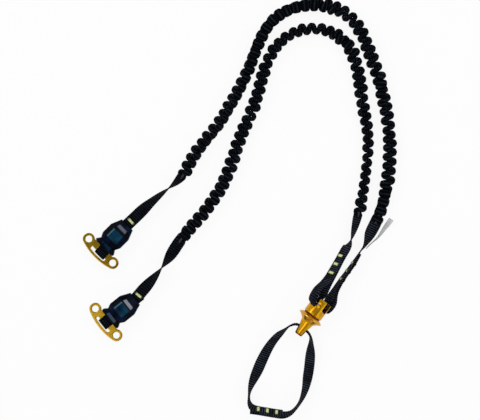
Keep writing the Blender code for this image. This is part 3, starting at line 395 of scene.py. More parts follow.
@dataclass(frozen=True)
class WebbingFinish:
    """Near-black nylon webbing with crosswise ribs and fine yarns, and painted sheen on the rib crests."""

    name: str = "webbing_weave"
    valley: tuple = (0.0005, 0.0010, 0.0028)
    # The crest colour is a painted sheen where the ribs would catch the light; the next one paints glints
    crest: tuple = (0.096, 0.112, 0.148)
    painted_glint: tuple = (0.110, 0.125, 0.150)
    rib_pitch: float = 0.0026
    yarn_pitch: float = 0.00055
    cloud_scale: float = 90.0
    fibre_scale: tuple = (2600.0, 700.0, 1.0)
    relief: float = 0.00018

    def material(self) -> Material:
        """Yarns cross the ribs and shift by half a yarn at each half rib; the crests carry painted sheen and
        glints.

        Returns:
            The material.
        """
        g = Surface(self.name)
        weave = g.attribute(Pattern.WEAVE)
        ribs = g.part(weave, "Y") / self.rib_pitch
        yarns = g.part(weave, "X") / self.yarn_pitch
        crest = ribs.wave()
        row = (ribs * 2.0).math("FLOOR") * 0.5
        yarn = (yarns + row).wave()
        cloudy = g.noise(g.place(), self.cloud_scale, 3.0)
        fibre = g.noise(g.stretched(weave, self.fibre_scale), 1.0, 2.0)
        # Painted light: cloudy patches where the crests' painted sheen shows more
        painted_light_patches = ((cloudy - 0.30) * 2.4).clamp()
        lit = crest ** 4.0 * (0.45 + 0.55 * yarn) * (0.15 + 0.85 * painted_light_patches)
        colour = g.blend(self.valley, self.crest, lit)
        # Painted glints on the crests, from the fibre noise
        painted_glint = ((fibre - 0.62) * 6.0).clamp() * crest
        return g.finish(
            Base_Color=g.blend(colour, self.painted_glint, painted_glint),
            Roughness=0.62 + 0.25 * cloudy,
            Specular_IOR_Level=0.03,
            Normal=g.bump(0.55 * crest + 0.45 * yarn + 0.25 * fibre, self.relief))


@dataclass(frozen=True)
class ThreadFinish:
    """Yellow-green stitching thread with a painted pale sheen."""

    # The dark colour is painted shade, where the tack's painted sheen fades out
    dark: tuple = (0.020, 0.034, 0.004)
    shade: tuple = (0.42, 0.50, 0.06)
    light: tuple = (0.93, 0.96, 0.55)
    twist: float = 0.00075
    cloud_scale: float = 600.0
    relief: float = 0.00008

    def material(self) -> Material:
        """The twist runs round the thread, its length plus its turn; painted sheen is pale, painted shade
        dark.

        Returns:
            The material.
        """
        g = Surface("stitch_thread")
        weave = g.attribute(Pattern.WEAVE)
        strand = (g.part(weave, "Y") / self.twist + g.part(weave, "X")).wave()
        cloudy = g.noise(g.place(), self.cloud_scale, 2.0)
        painted_sheen = g.blend(self.shade, self.light, 0.45 * strand + 0.75 * cloudy)
        # Painted sheen where the weave's third value is high, painted shade where it falls off to the sides
        return g.finish(
            Base_Color=g.blend(self.dark, painted_sheen, g.part(weave, "Z")),
            Roughness=0.42 + 0.2 * cloudy,
            Normal=g.bump(strand, self.relief))


@dataclass(frozen=True)
class GoldFinish:
    """Gold anodised aluminium, turned or tumbled, with edges of a colour of their own: pale wear on the
    swivel, painted shade on the plates.
    """

    name: str
    axis: tuple
    shade: tuple = (0.46, 0.18, 0.003)
    light: tuple = (0.74, 0.40, 0.014)
    # Edge colour: pale wear on the swivel; on the plates it is brown painted shade
    edge_wear_and_light: tuple = (0.93, 0.74, 0.38)
    # Painted shade inside the crown's cup and towards the tail's tip
    inside: tuple = (0.16, 0.035, 0.004)
    roughness: float = 0.25
    mark_scale: float = 5200.0
    cloud_scale: float = 170.0
    scuff_scale: float = 1500.0
    relief: float = 0.000002

    def material(self) -> Material:
        """Tool marks follow the place along the axis; edge marks and places of painted shade are in the
        mesh.

        Returns:
            The material.
        """
        g = Surface(self.name)
        place = g.place()
        travel = g.node("ShaderNodeVectorMath", {"operation": "DOT_PRODUCT"}, {0: place, 1: self.axis}, 1)
        marks = g.node("ShaderNodeTexNoise", {"noise_dimensions": "1D"},
                       {"W": travel, "Scale": self.mark_scale, "Detail": 3.0})
        cloudy = g.noise(place, self.cloud_scale, 3.0)
        scuffs = g.noise(place, self.scuff_scale, 4.0, 0.7)
        wear = g.attribute(Pattern.WEAR_AND_LIGHT)
        # Edge mask, cut up by scuffs: wear on the swivel, painted shade on the plates
        edge_wear_and_light_mask = (g.part(wear, "X") * (0.4 + scuffs) - 0.30).clamp()
        colour = g.blend(self.shade, self.light, 0.35 * marks + 0.75 * cloudy)
        # Painted shade inside the cup and towards the tail's tip
        colour = g.blend(colour, self.inside, g.part(wear, "Y"))
        return g.finish(
            Base_Color=g.blend(colour, self.edge_wear_and_light, 0.75 * edge_wear_and_light_mask),
            Metallic=1.0,
            Roughness=self.roughness + 0.08 * cloudy + 0.10 * edge_wear_and_light_mask,
            Normal=g.bump(marks + 0.25 * scuffs, self.relief))


@dataclass(frozen=True)
class SteelFinish:
    """Plain turned steel."""

    shade: tuple = (0.42, 0.43, 0.45)
    light: tuple = (0.72, 0.72, 0.73)
    cloud_scale: float = 400.0
    scratch_scale: tuple = (300.0, 4000.0, 4000.0)
    relief: float = 0.00002

    def material(self) -> Material:
        """Cloudy steel with fine scratches.

        Returns:
            The material.
        """
        g = Surface("pin_steel")
        place = g.place()
        cloudy = g.noise(place, self.cloud_scale, 3.0)
        scratches = g.noise(g.stretched(place, self.scratch_scale), 1.0, 2.0)
        return g.finish(
            Base_Color=g.blend(self.shade, self.light, cloudy),
            Metallic=1.0,
            Roughness=0.22 + 0.22 * cloudy,
            Normal=g.bump(scratches, self.relief))


@dataclass(frozen=True)
class GripFinish:
    """Dark blue moulded plastic with a teal panel, paler along its edges from rubbing and painted
    highlights.
    """

    body: tuple = (0.0006, 0.0010, 0.0030)
    cloud: tuple = (0.0012, 0.0070, 0.0300)
    # Edge colour: rubbing, and painted highlights where the facets meet
    edge: tuple = (0.045, 0.060, 0.085)
    panel: tuple = (0.0040, 0.0420, 0.0740)
    deep: tuple = (0.0010, 0.0060, 0.0260)
    # Band colour: painted reflection of a lamp on the sleeve's sloping facet and the collar's top
    band: tuple = (0.34, 0.35, 0.39)
    # Rim colour: a painted highlight along one side of the panel
    rim: tuple = (0.06, 0.14, 0.17)
    cloud_scale: float = 110.0
    grain_scale: float = 5200.0
    scuff_scale: float = 900.0
    relief: float = 0.00001

    def material(self) -> Material:
        """Fine moulded grain, soft clouds, edges rubbed and painted with highlights, and the marks: panel,
        painted reflection bands and the rim's painted highlight.

        Returns:
            The material.
        """
        g = Surface("grip_plastic")
        place = g.place()
        cloudy = g.noise(place, self.cloud_scale, 2.0)
        grain = g.node("ShaderNodeTexVoronoi", {}, {"Vector": place, "Scale": self.grain_scale})
        scuffs = g.noise(place, self.scuff_scale, 4.0, 0.65)
        wear = g.part(g.attribute(Pattern.WEAR_AND_LIGHT), "X")
        # Edge mask cut up by scuffs: rubbing and painted edge highlights
        edge_wear_and_light = (wear * (0.5 + scuffs) - 0.25).clamp()
        marks = g.attribute(Pattern.WEAVE)
        colour = g.blend(self.body, self.cloud, (4.0 * cloudy - 1.8).clamp())
        teal = g.blend(self.deep, self.panel, (3.0 * cloudy - 1.0).clamp())
        colour = g.blend(colour, teal, g.part(marks, "X"))
        # Painted reflection bands, where the second mark is
        colour = g.blend(colour, self.band, g.part(marks, "Y") * (0.5 + 0.5 * cloudy))
        # Painted highlight on one side of the panel's rim
        colour = g.blend(colour, self.rim, g.part(marks, "Z"))
        return g.finish(
            Base_Color=g.blend(colour, self.edge, 0.6 * edge_wear_and_light),
            Roughness=0.26 + 0.16 * scuffs + 0.1 * edge_wear_and_light,
            Specular_IOR_Level=0.03,
            Normal=g.bump(0.6 * grain + 0.4 * scuffs, self.relief))


@dataclass(frozen=True)
class GrooveFinish:
    """Dark red bearing washer between the swivel's two halves."""

    dark: tuple = (0.035, 0.003, 0.003)
    light: tuple = (0.110, 0.010, 0.006)
    cloud_scale: float = 500.0
    relief: float = 0.00004

    def material(self) -> Material:
        """Slightly cloudy, waxy plastic.

        Returns:
            The material.
        """
        g = Surface("bearing_washer")
        cloudy = g.noise(g.place(), self.cloud_scale, 3.0)
        return g.finish(Base_Color=g.blend(self.dark, self.light, cloudy), Roughness=0.35 + 0.2 * cloudy,
                        Normal=g.bump(cloudy, self.relief))


@dataclass(frozen=True)
class ElasticFinish:
    """Black braided cover of the elastic cord."""

    dark: tuple = (0.006, 0.007, 0.009)
    light: tuple = (0.035, 0.038, 0.044)
    pitch: float = 0.0016
    strands_round: float = 4.0
    relief: float = 0.00015

    def material(self) -> Material:
        """Two families of strands wind left and right: length over pitch plus and less the turn.

        Returns:
            The material.
        """
        g = Surface("elastic_braid")
        weave = g.attribute(Pattern.WEAVE)
        length = g.part(weave, "Y") / self.pitch
        turn = self.strands_round * g.part(weave, "X")
        strands = (length + turn).wave() * (length - turn).wave()
        return g.finish(Base_Color=g.blend(self.dark, self.light, strands), Roughness=0.72 - 0.1 * strands,
                        Normal=g.bump(strands, self.relief))


@dataclass(frozen=True)
class LabelFinish:
    """Clear film that has gone slightly milky."""

    dark: tuple = (0.50, 0.50, 0.50)
    light: tuple = (0.70, 0.70, 0.70)
    cloud_scale: float = 160.0
    crease_scale: float = 900.0
    relief: float = 0.00004

    def material(self) -> Material:
        """Milky clouds, and a film that lets some of the background through.

        Returns:
            The material.
        """
        g = Surface("label_film")
        place = g.place()
        cloudy = g.noise(place, self.cloud_scale, 3.0)
        creases = g.noise(place, self.crease_scale)
        return g.finish(Base_Color=g.blend(self.dark, self.light, cloudy), Roughness=0.32 + 0.2 * cloudy,
                        Alpha=0.72 + 0.2 * cloudy, Normal=g.bump(creases, self.relief))


@dataclass
class Palette:
    """Every finish of the leash, made once."""

    swivel_axis: tuple

    def __post_init__(self) -> None:
        """Make a material for each slot, the toggles' own, and a webbing copy darkened as painted shade for
        their side.
        """
        self.made = {
            Slot.WEBBING: WebbingFinish().material(),
            Slot.THREAD: ThreadFinish().material(),
            Slot.STEEL: SteelFinish().material(),
            Slot.GRIP: GripFinish().material(),
            Slot.GROOVE: GrooveFinish().material(),
            Slot.ELASTIC: ElasticFinish().material(),
            Slot.LABEL: LabelFinish().material(),
            Slot.GOLD: GoldFinish("turned_gold", self.swivel_axis).material(),
        }
        # The plates' brown edge colour is painted shade on their rounded edges
        self.plate_gold = GoldFinish(
            "plate_gold", axis=(0.0, 0.0, 1.0), shade=(0.36, 0.19, 0.008), light=(0.50, 0.32, 0.022),
            edge_wear_and_light=(0.20, 0.09, 0.006), roughness=0.14).material()
        # The same webbing with darker colours: painted shade for the gathered length and the toggles' side
        self.gathered = WebbingFinish(
            "shaded_gathered_weave", valley=(0.0003, 0.0005, 0.0011), crest=(0.022, 0.030, 0.046),
            painted_glint=(0.050, 0.062, 0.080)).material()

    def dress(self, obj: Piece, slot: Slot, body: str | None, node: str,
              material: Material | None = None) -> Piece:
        """Give a piece its material, its slot, the body that it rides on and the node that it replaces.

        Args:
            obj: The piece.
            slot: The record's slot for its finish.
            body: The body that it rides on, or None to leave it unattached.
            node: The node that it stands for.
            material: A finish other than the slot's own.

        Returns:
            The piece.
        """
        obj.data.materials.clear()
        obj.data.materials.append(material or self.made[slot])
        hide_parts(node)
        if body:
            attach(obj, body)
        LOG.info("%s: %d faces", obj.name, len(obj.data.polygons))
        return obj


# Meshes

@dataclass
class Solid:
    """A closed surface of quads and triangles, with its points' vectors for the materials to read."""

    verts: Array
    quads: Array
    tris: Array
    weave: Array | None = None

    def turned_out(self) -> "Solid":
        """The same solid with its faces pointing out: its volume, summed over its faces, is positive.

        Returns:
            This solid, or one with every face turned round.
        """
        halves = np.concatenate([self.quads[:, [0, 1, 2]], self.quads[:, [0, 2, 3]], self.tris])
        a, b, c = (self.verts[halves[:, i]] for i in range(3))
        if np.einsum("ij,ij->", a, np.cross(b, c)) < 0:
            return Solid(self.verts, self.quads[:, ::-1], self.tris[:, ::-1], self.weave)
        return self

    def joined(self, other: "Solid") -> "Solid":
        """Two solids as one mesh.

        Args:
            other: The second solid.

        Returns:
            Both.
        """
        count = len(self.verts)
        weave = None if self.weave is None else np.concatenate([self.weave, other.weave])
        return Solid(np.concatenate([self.verts, other.verts]),
                     np.concatenate([self.quads, other.quads + count]),
                     np.concatenate([self.tris, other.tris + count]), weave)


def ring_quads(rings: int, sides: int, wrapped: bool) -> Array:
    """Quads between successive rings of points.

    Args:
        rings: How many rings.
        sides: Points on each.
        wrapped: Whether the last meets the first.

    Returns:
        Four points' numbers for each quad.
    """
    near = np.arange(rings if wrapped else rings - 1)[:, None]
    far = (near + 1) % rings
    side = np.arange(sides)[None, :]
    after = (side + 1) % sides
    corners = [near * sides + side, near * sides + after, far * sides + after, far * sides + side]
    return np.stack(corners, axis=2).reshape(-1, 4)


def closed_tube(rings: Array, weave: Array | None = None) -> Solid:
    """A tube through rings of points, closed by a fan of triangles to a pole at each end.

    Args:
        rings: Points, shape (rings, sides, 3).
        weave: Vectors for the points, the same shape.

    Returns:
        The closed solid.
    """
    count, sides, _ = rings.shape
    poles = rings[[0, -1]].mean(axis=1)
    verts = np.concatenate([rings.reshape(-1, 3), poles])
    side = np.arange(sides)
    after = (side + 1) % sides
    last = (count - 1) * sides
    near = np.stack([after, side, np.full(sides, count * sides)], axis=1)
    far = np.stack([last + side, last + after, np.full(sides, count * sides + 1)], axis=1)
    if weave is not None:
        weave = np.concatenate([weave.reshape(-1, 3), weave[[0, -1]].mean(axis=1)])
    return Solid(verts, ring_quads(count, sides, False), np.concatenate([near, far]), weave).turned_out()


def wrapped_tube(rings: Array) -> Solid:
    """A ring-shaped solid through rings of points, the last joined to the first."""
    count, sides, _ = rings.shape
    return Solid(rings.reshape(-1, 3), ring_quads(count, sides, True), np.zeros((0, 3), int)).turned_out()


def lathed(outline: Array, segments: int) -> Array:
    """Rings of points round the X axis: x stays, and (y, z) is the radius times (cos, sin) of the turn.

    Args:
        outline: Rows of x and radius.
        segments: Points on each ring.

    Returns:
        Points, shape (rows, segments, 3).
    """
    turn = 2 * math.pi * np.arange(segments) / segments
    x = np.repeat(outline[:, :1], segments, axis=1)
    radius = outline[:, 1:2]
    return np.stack([x, radius * np.cos(turn), radius * np.sin(turn)], axis=2)


def extruded(outline: Array, low: float, high: float) -> Array:
    """Two rings of points: an outline of x and y at two heights."""
    return np.stack([np.column_stack([outline, np.full(len(outline), z)]) for z in (low, high)])


def to_object(name: str, data: bpy.types.ID) -> Piece:
    """An object at the origin that holds a mesh or a curve."""
    obj = bpy.data.objects.new(name, data)
    bpy.context.collection.objects.link(obj)
    return obj


def made_of(name: str, solid: Solid) -> Piece:
    """An object of a solid, shaded smooth, with the solid's vectors as an attribute of its mesh.

    Args:
        name: The object's name.
        solid: Its shape.

    Returns:
        The object.
    """
    mesh = bpy.data.meshes.new(name)
    mesh.from_pydata(solid.verts.tolist(), [], solid.quads.tolist() + solid.tris.tolist())
    if solid.weave is not None:
        weave = mesh.attributes.new(Pattern.WEAVE.value, "FLOAT_VECTOR", "POINT")
        weave.data.foreach_set("vector", solid.weave.astype(np.float32).ravel())
    mesh.shade_smooth()
    return to_object(name, mesh)


def read(items: bpy.types.bpy_prop_collection, name: str, kind: type, width: int = 1) -> Array:
    """One property of all of a mesh's points, faces or corners.

    Args:
        items: The points, faces or corners.
        name: The property.
        kind: Its numbers' type.
        width: How many numbers each of them has.

    Returns:
        The numbers.
    """
    values = np.empty(len(items) * width, dtype=kind)
    items.foreach_get(name, values)
    return values.reshape(-1, width) if width > 1 else values


def add_wear_and_light(mesh: bpy.types.Mesh, gain: float = 9.0, depth: Array | None = None) -> None:
    """Mark a mesh's edges, for wear and painted edge light, and its places of painted shade.

    The mean of the unit normals of the faces round a point is shorter the sharper the edge there:
    the edge mark is one less that length, times a gain, kept from 0 to 1.

    Args:
        mesh: The mesh, which gets the attribute.
        gain: How fast the edge mark grows with sharpness.
        depth: How much painted shade each point gets, from 0 to 1, or None for no shade.
    """
    points = read(mesh.loops, "vertex_index", np.int32)
    sizes = read(mesh.polygons, "loop_total", np.int32)
    spread = np.repeat(read(mesh.polygon_normals, "vector", float, 3), sizes, axis=0)
    total = np.stack([np.bincount(points, spread[:, i], len(mesh.vertices)) for i in range(3)], axis=1)
    count = np.maximum(np.bincount(points, minlength=len(mesh.vertices)), 1)
    wear = np.clip(gain * (1.0 - np.linalg.norm(total, axis=1) / count), 0.0, 1.0)
    shade = np.zeros(len(wear)) if depth is None else depth
    marks = np.column_stack([wear * (1.0 - shade), shade, np.zeros(len(wear))])
    attribute = mesh.attributes.new(Pattern.WEAR_AND_LIGHT.value, "FLOAT_VECTOR", "POINT")
    attribute.data.foreach_set("vector", marks.astype(np.float32).ravel())


def modified(obj: Piece, kind: str, **settings: object) -> None:
    """Change an object's mesh by one modifier.

    Args:
        obj: The object.
        kind: The modifier's kind.
        settings: The modifier's settings.
    """
    modifier = obj.modifiers.new(kind, kind)
    for name, setting in settings.items():
        setattr(modifier, name, setting)
    bpy.context.view_layer.update()
    evaluated = obj.evaluated_get(bpy.context.evaluated_depsgraph_get())
    obj.data = bpy.data.meshes.new_from_object(evaluated)
    obj.modifiers.clear()


def cut(obj: Piece, cutters: list[Solid]) -> None:
    """Cut solids out of an object.

    Args:
        obj: The object.
        cutters: The solids.
    """
    for solid in cutters:
        tool = made_of("cutter", solid)
        modified(obj, "BOOLEAN", operation="DIFFERENCE", solver="EXACT", object=tool)
        bpy.data.objects.remove(tool, do_unlink=True)


def sharpened(mesh: bpy.types.Mesh, angle: float = 30.0) -> None:
    """Shade smooth, with sharp edges where faces turn by more than an angle in degrees."""
    mesh.shade_smooth()
    mesh.set_sharp_from_angle(angle=math.radians(angle))


# Routes

class Route:
    """A smooth curve through points of x, y, z and roll, read by its length."""

    samples_per_knot = 40
    tangent_step = 1e-5

    def __init__(self, points: list) -> None:
        """Fit a natural cubic spline to the points, over the straight distances between them.

        Args:
            points: Rows of x, y, z and roll in degrees.
        """
        self.rows = np.array(points, dtype=float)
        self.knots = along(self.rows[:, :3])
        self.bends = self._bends()
        self.fine = np.linspace(0.0, self.knots[-1], self.samples_per_knot * len(self.knots))
        self.walked = along(self._value(self.fine)[:, :3])
        self.length = float(self.walked[-1])

    def _bends(self) -> Array:
        """Second derivatives of the natural cubic spline at its knots.

        Returns:
            A row for each knot.
        """
        count = len(self.knots)
        step = np.diff(self.knots)
        slope = np.diff(self.rows, axis=0) / step[:, None]
        inner = np.arange(1, count - 1)
        system = np.eye(count)
        system[inner, inner - 1] = step[:-1]
        system[inner, inner] = 2 * (step[:-1] + step[1:])
        system[inner, inner + 1] = step[1:]
        target = np.zeros_like(self.rows)
        target[inner] = 6 * np.diff(slope, axis=0)
        return np.linalg.solve(system, target)

    def _value(self, where: Array) -> Array:
        """The spline's x, y, z and roll.

        Args:
            where: Distances along the knots.

        Returns:
            Rows of the four.
        """
        i = np.clip(np.searchsorted(self.knots, where) - 1, 0, len(self.knots) - 2)
        step = (self.knots[i + 1] - self.knots[i])[:, None]
        after = (where - self.knots[i])[:, None] / step
        before = 1.0 - after
        straight = before * self.rows[i] + after * self.rows[i + 1]
        bent = (before ** 3 - before) * self.bends[i] + (after ** 3 - after) * self.bends[i + 1]
        return straight + bent * step ** 2 / 6

    def length_at(self, point: int) -> float:
        """Length along the route at one of its own points."""
        return float(np.interp(self.knots[point], self.fine, self.walked))

    def roll_at(self, lengths: Array) -> Array:
        """The roll, in degrees, at lengths along the route."""
        return self._value(np.interp(lengths, self.walked, self.fine))[:, 3]

    def centre(self, lengths: Array) -> Array:
        """Points at lengths along the route."""
        return self._value(np.interp(lengths, self.walked, self.fine))[:, :3]

    def frames(self, lengths: Array) -> tuple[Array, Array, Array, Array]:
        """The webbing's place and directions at lengths along the route.

        With left = Z x tangent and up = tangent x left, the face normal is cos(roll) left + sin(roll) up.

        Args:
            lengths: Lengths from the route's start.

        Returns:
            Centres, tangents, face normals and width directions.
        """
        where = np.interp(np.asarray(lengths, dtype=float), self.walked, self.fine)
        small = self.knots[-1] * self.tangent_step
        ahead = self._value(np.minimum(where + small, self.knots[-1]))
        behind = self._value(np.maximum(where - small, 0.0))
        tangent = ahead[:, :3] - behind[:, :3]
        tangent /= np.linalg.norm(tangent, axis=1, keepdims=True)
        rows = self._value(where)
        left = np.cross((0.0, 0.0, 1.0), tangent)
        left /= np.linalg.norm(left, axis=1, keepdims=True)
        up = np.cross(tangent, left)
        roll = np.radians(rows[:, 3:4])
        normal = np.cos(roll) * left + np.sin(roll) * up
        return rows[:, :3], tangent, normal, np.cross(normal, tangent)


@dataclass
class Band:
    """Webbing carried along a line: its centres, its directions and its half sizes there.

    A fan moves each edge of the webbing its own way, and the ribs' level is where they have no effect.
    """

    centre: Array
    normal: Array
    side: Array
    half_width: Array
    half_thickness: Array
    rib_pitch: float = WebbingFinish.rib_pitch
    rib_relief: float = 0.00022
    edge_relief: float = 0.00016
    rib_power: float = 0.8
    rib_level: float = 0.6
    corner_power: "float | Array" = 4.2
    around: int = 20
    fan: Array | None = None

    @staticmethod
    def joined(*bands: "Band") -> "Band":
        """Several stretches of webbing as one."""
        names = ("centre", "normal", "side", "half_width", "half_thickness")
        return Band(*(np.concatenate([getattr(band, name) for band in bands]) for name in names))

    def solid(self) -> Solid:
        """The ribbed surface.

        Each ring is a superellipse: its thickness goes with sgn(cos)|cos|^(2/p) of the turn, and its width
        with the same power of sin. The ribs' crests go with a power of |sin(pi length / pitch)|.

        Returns:
            The closed band.
        """
        turn = 2 * math.pi * (np.arange(self.around) + 0.5) / self.around
        cos, sin = np.cos(turn), np.sin(turn)
        power = 2 / (self.corner_power * np.ones((len(self.centre), 1)))
        out = np.sign(cos) * np.abs(cos) ** power
        across = np.sign(sin) * np.abs(sin) ** power
        length = along(self.centre)
        crest = np.abs(np.sin(math.pi * length / self.rib_pitch)) ** self.rib_power
        thick = self.half_thickness + self.rib_relief * (crest - self.rib_level)
        wide = self.half_width - self.edge_relief * (1.0 - crest)
        rings = (self.centre[:, None] + (thick[:, None] * out)[:, :, None] * self.normal[:, None]
                 + (wide[:, None] * across)[:, :, None] * self.side[:, None])
        if self.fan is not None:
            rings = rings + across[:, :, None] * self.fan[:, None]
        rings[:, :, 2] = off_floor(rings[:, :, 2])
        weave = np.zeros(rings.shape)
        weave[:, :, 0] = self.half_width[:, None] * across
        weave[:, :, 1] = length[:, None]
        return closed_tube(rings, weave)


# Stitching

@dataclass(frozen=True)
class BarTack:
    """A dense zigzag of thread that runs across the webbing, over a few threads laid across it."""

    width: float = 0.011
    length: float = 0.0034
    thread: float = 0.00034
    legs: int = 34
    leg_steps: int = 8
    turn_shape: float = 0.97
    arch: float = 0.35
    sides: int = 6
    laid: int = 3
    laid_spread: float = 0.62
    laid_reach: float = 0.96
    laid_steps: int = 40
    laid_size: float = 1.2
    # Shares of the half width over which the thread's painted sheen fades to painted shade
    painted_sheen: tuple = (0.45, 0.825)

    def solid(self, route: Route, middle: float, lift: float) -> Solid:
        """Thread on the webbing's face.

        The thread's place along the webbing is a rounded triangle wave, half the tack's length times
        the arcsine of the turn shape times sin, and it goes evenly from one side to the other.

        Args:
            route: The webbing's route.
            middle: Length along the route at the tack's middle.
            lift: Height of the thread's line over the route, along the face normal.

        Returns:
            The zigzag and the laid threads as one mesh.
        """
        steps = self.legs * self.leg_steps + 1
        phase = np.linspace(0.0, self.legs * math.pi, steps)
        swing = np.arcsin(self.turn_shape * np.sin(phase - math.pi / 2)) / math.asin(self.turn_shape)
        reach = self.length / 2 - self.thread / 2
        across = np.linspace(-1.0, 1.0, steps) * (self.width / 2 - self.thread / 2)
        arch = self.arch * self.thread
        solid = self._thread(route, middle + reach * swing, across, lift + arch * (1.0 - swing ** 4),
                             self.thread)
        run = np.linspace(-self.laid_reach, self.laid_reach, self.laid_steps) * self.width / 2
        under = np.full(len(run), lift - arch)
        for offset in np.linspace(-1.0, 1.0, self.laid) * self.laid_spread * reach:
            place = np.full(len(run), middle + offset)
            solid = solid.joined(self._thread(route, place, run, under, self.laid_size * self.thread))
        return solid

    def _thread(self, route: Route, lengths: Array, across: Array, lift: Array, size: float) -> Solid:
        """A round thread through places along and across the webbing.

        Args:
            route: The webbing's route.
            lengths: Lengths along the route.
            across: Places across the webbing.
            lift: Heights over it.
            size: The thread's diameter.

        Returns:
            The closed thread, with its turn, its length and its painted sheen, which fades to both sides.
        """
        centre, _, normal, side = route.frames(lengths)
        line = centre + across[:, None] * side + lift[:, None] * normal
        ahead = np.gradient(line, axis=0)
        ahead /= np.linalg.norm(ahead, axis=1, keepdims=True)
        flank = np.cross(ahead, normal)
        flank /= np.linalg.norm(flank, axis=1, keepdims=True)
        up = np.cross(flank, ahead)
        turn = 2 * math.pi * np.arange(self.sides) / self.sides
        rings = line[:, None] + size / 2 * (
            np.cos(turn)[None, :, None] * flank[:, None] + np.sin(turn)[None, :, None] * up[:, None])
        weave = np.zeros(rings.shape)
        weave[:, :, 0] = turn / (2 * math.pi)
        weave[:, :, 1] = along(line)[:, None]
        # Painted sheen in the tack's middle, fading to painted shade at both sides
        weave[:, :, 2] = 1.0 - smooth(np.abs(2 * across / self.width), *self.painted_sheen)[:, None]
        return closed_tube(rings, weave)


# Swivel

@dataclass
class Swivel:
    """Gold swivel: a turned tail with the cross eye, and a crown with windows for the two arms."""

    palette: Palette
    tip: tuple = (0.10425, -0.06145)
    turn: float = math.radians(53.2)
    tip_radius: float = 0.0044
    stem_radius: float = 0.0075
    stem_end: float = 0.0172
    cove_power: float = 1.45
    flange_radius: float = 0.0147
    flange_start: float = 0.0230
    flange_end: float = 0.0242
    tail_length: float = 0.0264
    tail_face_radius: float = 0.0114
    eye_x: float = 0.0088
    eye_radius: float = 0.0034
    eye_flare: float = 0.0012
    axle_radius: float = 0.0030
    axle_depth: float = 0.0120
    axle_clearance: float = 0.0006
    washer_thickness: float = 0.0007
    washer_radius: float = 0.0104
    head_radius: float = 0.0113
    head_floor: float = 0.0038
    rim_height: float = 0.0089
    head_length: float = 0.0209
    cup_radius: float = 0.0079
    window_width: float = 0.0080
    window_corner: float = 0.0010
    pin_radius: float = 0.0012
    pin_clearance: float = 0.00015
    pin_offset: float = 0.0088
    pin_half_length: float = 0.0066
    pin_rim_clearance: float = 0.0006
    tape_width: float = 0.0072
    tape_thickness: float = 0.0029
    edge: float = 0.0006
    tip_shade: tuple = (0.0006, 0.0030)
    segments: int = 96

    def __post_init__(self) -> None:
        """Work out where each part starts along the axis."""
        self.place = (Matrix.Translation((*self.tip, self.flange_radius))
                      @ Matrix.Rotation(self.turn, 4, "Z"))
        self.washer_start = self.tail_length + GAP
        self.head_start = self.washer_start + self.washer_thickness + GAP
        self.window_start = self.head_start + self.rim_height
        self.turn_radius = self.pin_radius + GAP + self.tape_thickness / 2
        self.pin_x = (self.window_start + self.turn_radius + self.tape_thickness / 2
                      + self.pin_rim_clearance)

    @classmethod
    def axis(cls) -> tuple:
        """The swivel's axis, from tail to head."""
        return (math.cos(cls.turn), math.sin(cls.turn), 0.0)

    def pin_centre(self, window: int) -> Vector:
        """Middle of the cross pin in one of the two windows, in the swivel's frame."""
        reach = window * self.pin_offset * math.sqrt(0.5)
        return Vector((self.pin_x, reach, reach))

    def pin_place(self, window: int) -> Matrix:
        """A cross pin's frame, with X along the pin.

        Args:
            window: -1 for the outer arm's window and 1 for the inner arm's.

        Returns:
            The frame, in the swivel's own.
        """
        across = Vector((0.0, -window, window)).normalized()
        lie = across.to_track_quat("X", "Z").to_matrix().to_4x4()
        return Matrix.Translation(self.pin_centre(window)) @ lie

    def build(self) -> None:
        """Make the tail, the crown, the washer and the two pins, and dress the hidden axle."""
        self._tail()
        self._crown()
        self._washer()
        for name, window in (("outer", -1), ("inner", 1)):
            self._pin(name, window)
        for node in ("swivel_axle", "axle_washer"):
            hidden = bpy.data.objects[node]
            if not hidden.material_slots:
                hidden.data.materials.append(None)
            for place in hidden.material_slots:
                place.material = self.palette.made[Slot.STEEL]

    def _tail(self) -> None:
        """Stem, cove and flange: radius grows from stem to flange with a power of the way along."""
        share = np.linspace(0.0, 1.0, 25)
        cove = np.column_stack([mix(self.stem_end, self.flange_start, share),
                                mix(self.stem_radius, self.flange_radius, share ** self.cove_power)])
        round_tip = arc((self.edge, self.tip_radius - self.edge), self.edge, 180.0, 90.0, 6)
        stem_x = np.linspace(self.edge, self.stem_end, 20)[1:-1]
        stem = np.column_stack([stem_x, mix(self.tip_radius, self.stem_radius, stem_x / self.stem_end)])
        rim, face, end = self.flange_radius, self.tail_face_radius, self.tail_length
        lip, hole = 0.35 * self.edge, self.axle_radius + GAP
        flange = [
            (self.flange_start + lip, rim), (self.flange_end - lip, rim), (self.flange_end, rim - lip),
            (end - lip, face + lip), (end, face - lip), (end, hole), (end - self.axle_depth, hole),
        ]
        outline = np.concatenate([[(0.0, 0.3 * self.tip_radius)], round_tip, stem, cove, flange])
        tail = made_of("swivel_tail_body", closed_tube(moved(self.place, lathed(outline, self.segments))))
        cut(tail, [self._eye()])
        sharpened(tail.data)
        ahead, _ = self._axial(tail.data)
        # Painted shade on the tail, growing towards its tip
        add_wear_and_light(tail.data, depth=1.0 - smooth(ahead, *self.tip_shade))
        self.palette.dress(tail, Slot.GOLD, "swivel_tail", "swivel_tail")

    def _eye(self) -> Solid:
        """The cross eye: a hole right through the stem that flares out at both its mouths.

        Returns:
            The cutter.
        """
        flare, radius = self.eye_flare, self.eye_radius
        wall = mix(self.tip_radius, self.stem_radius, self.eye_x / self.stem_end)
        inner = arc((wall - flare, radius + flare), flare, -90.0, -20.0, 6)
        mouth = np.concatenate([inner, [(wall + flare, radius + 2.4 * flare)]])
        bore = np.concatenate([mouth[::-1] * (-1, 1), mouth])
        across = (self.place @ Matrix.Translation((self.eye_x, 0.0, 0.0))
                  @ Matrix.Rotation(math.pi / 2, 4, "Z"))
        return closed_tube(moved(across, lathed(bore, self.segments // 2)))

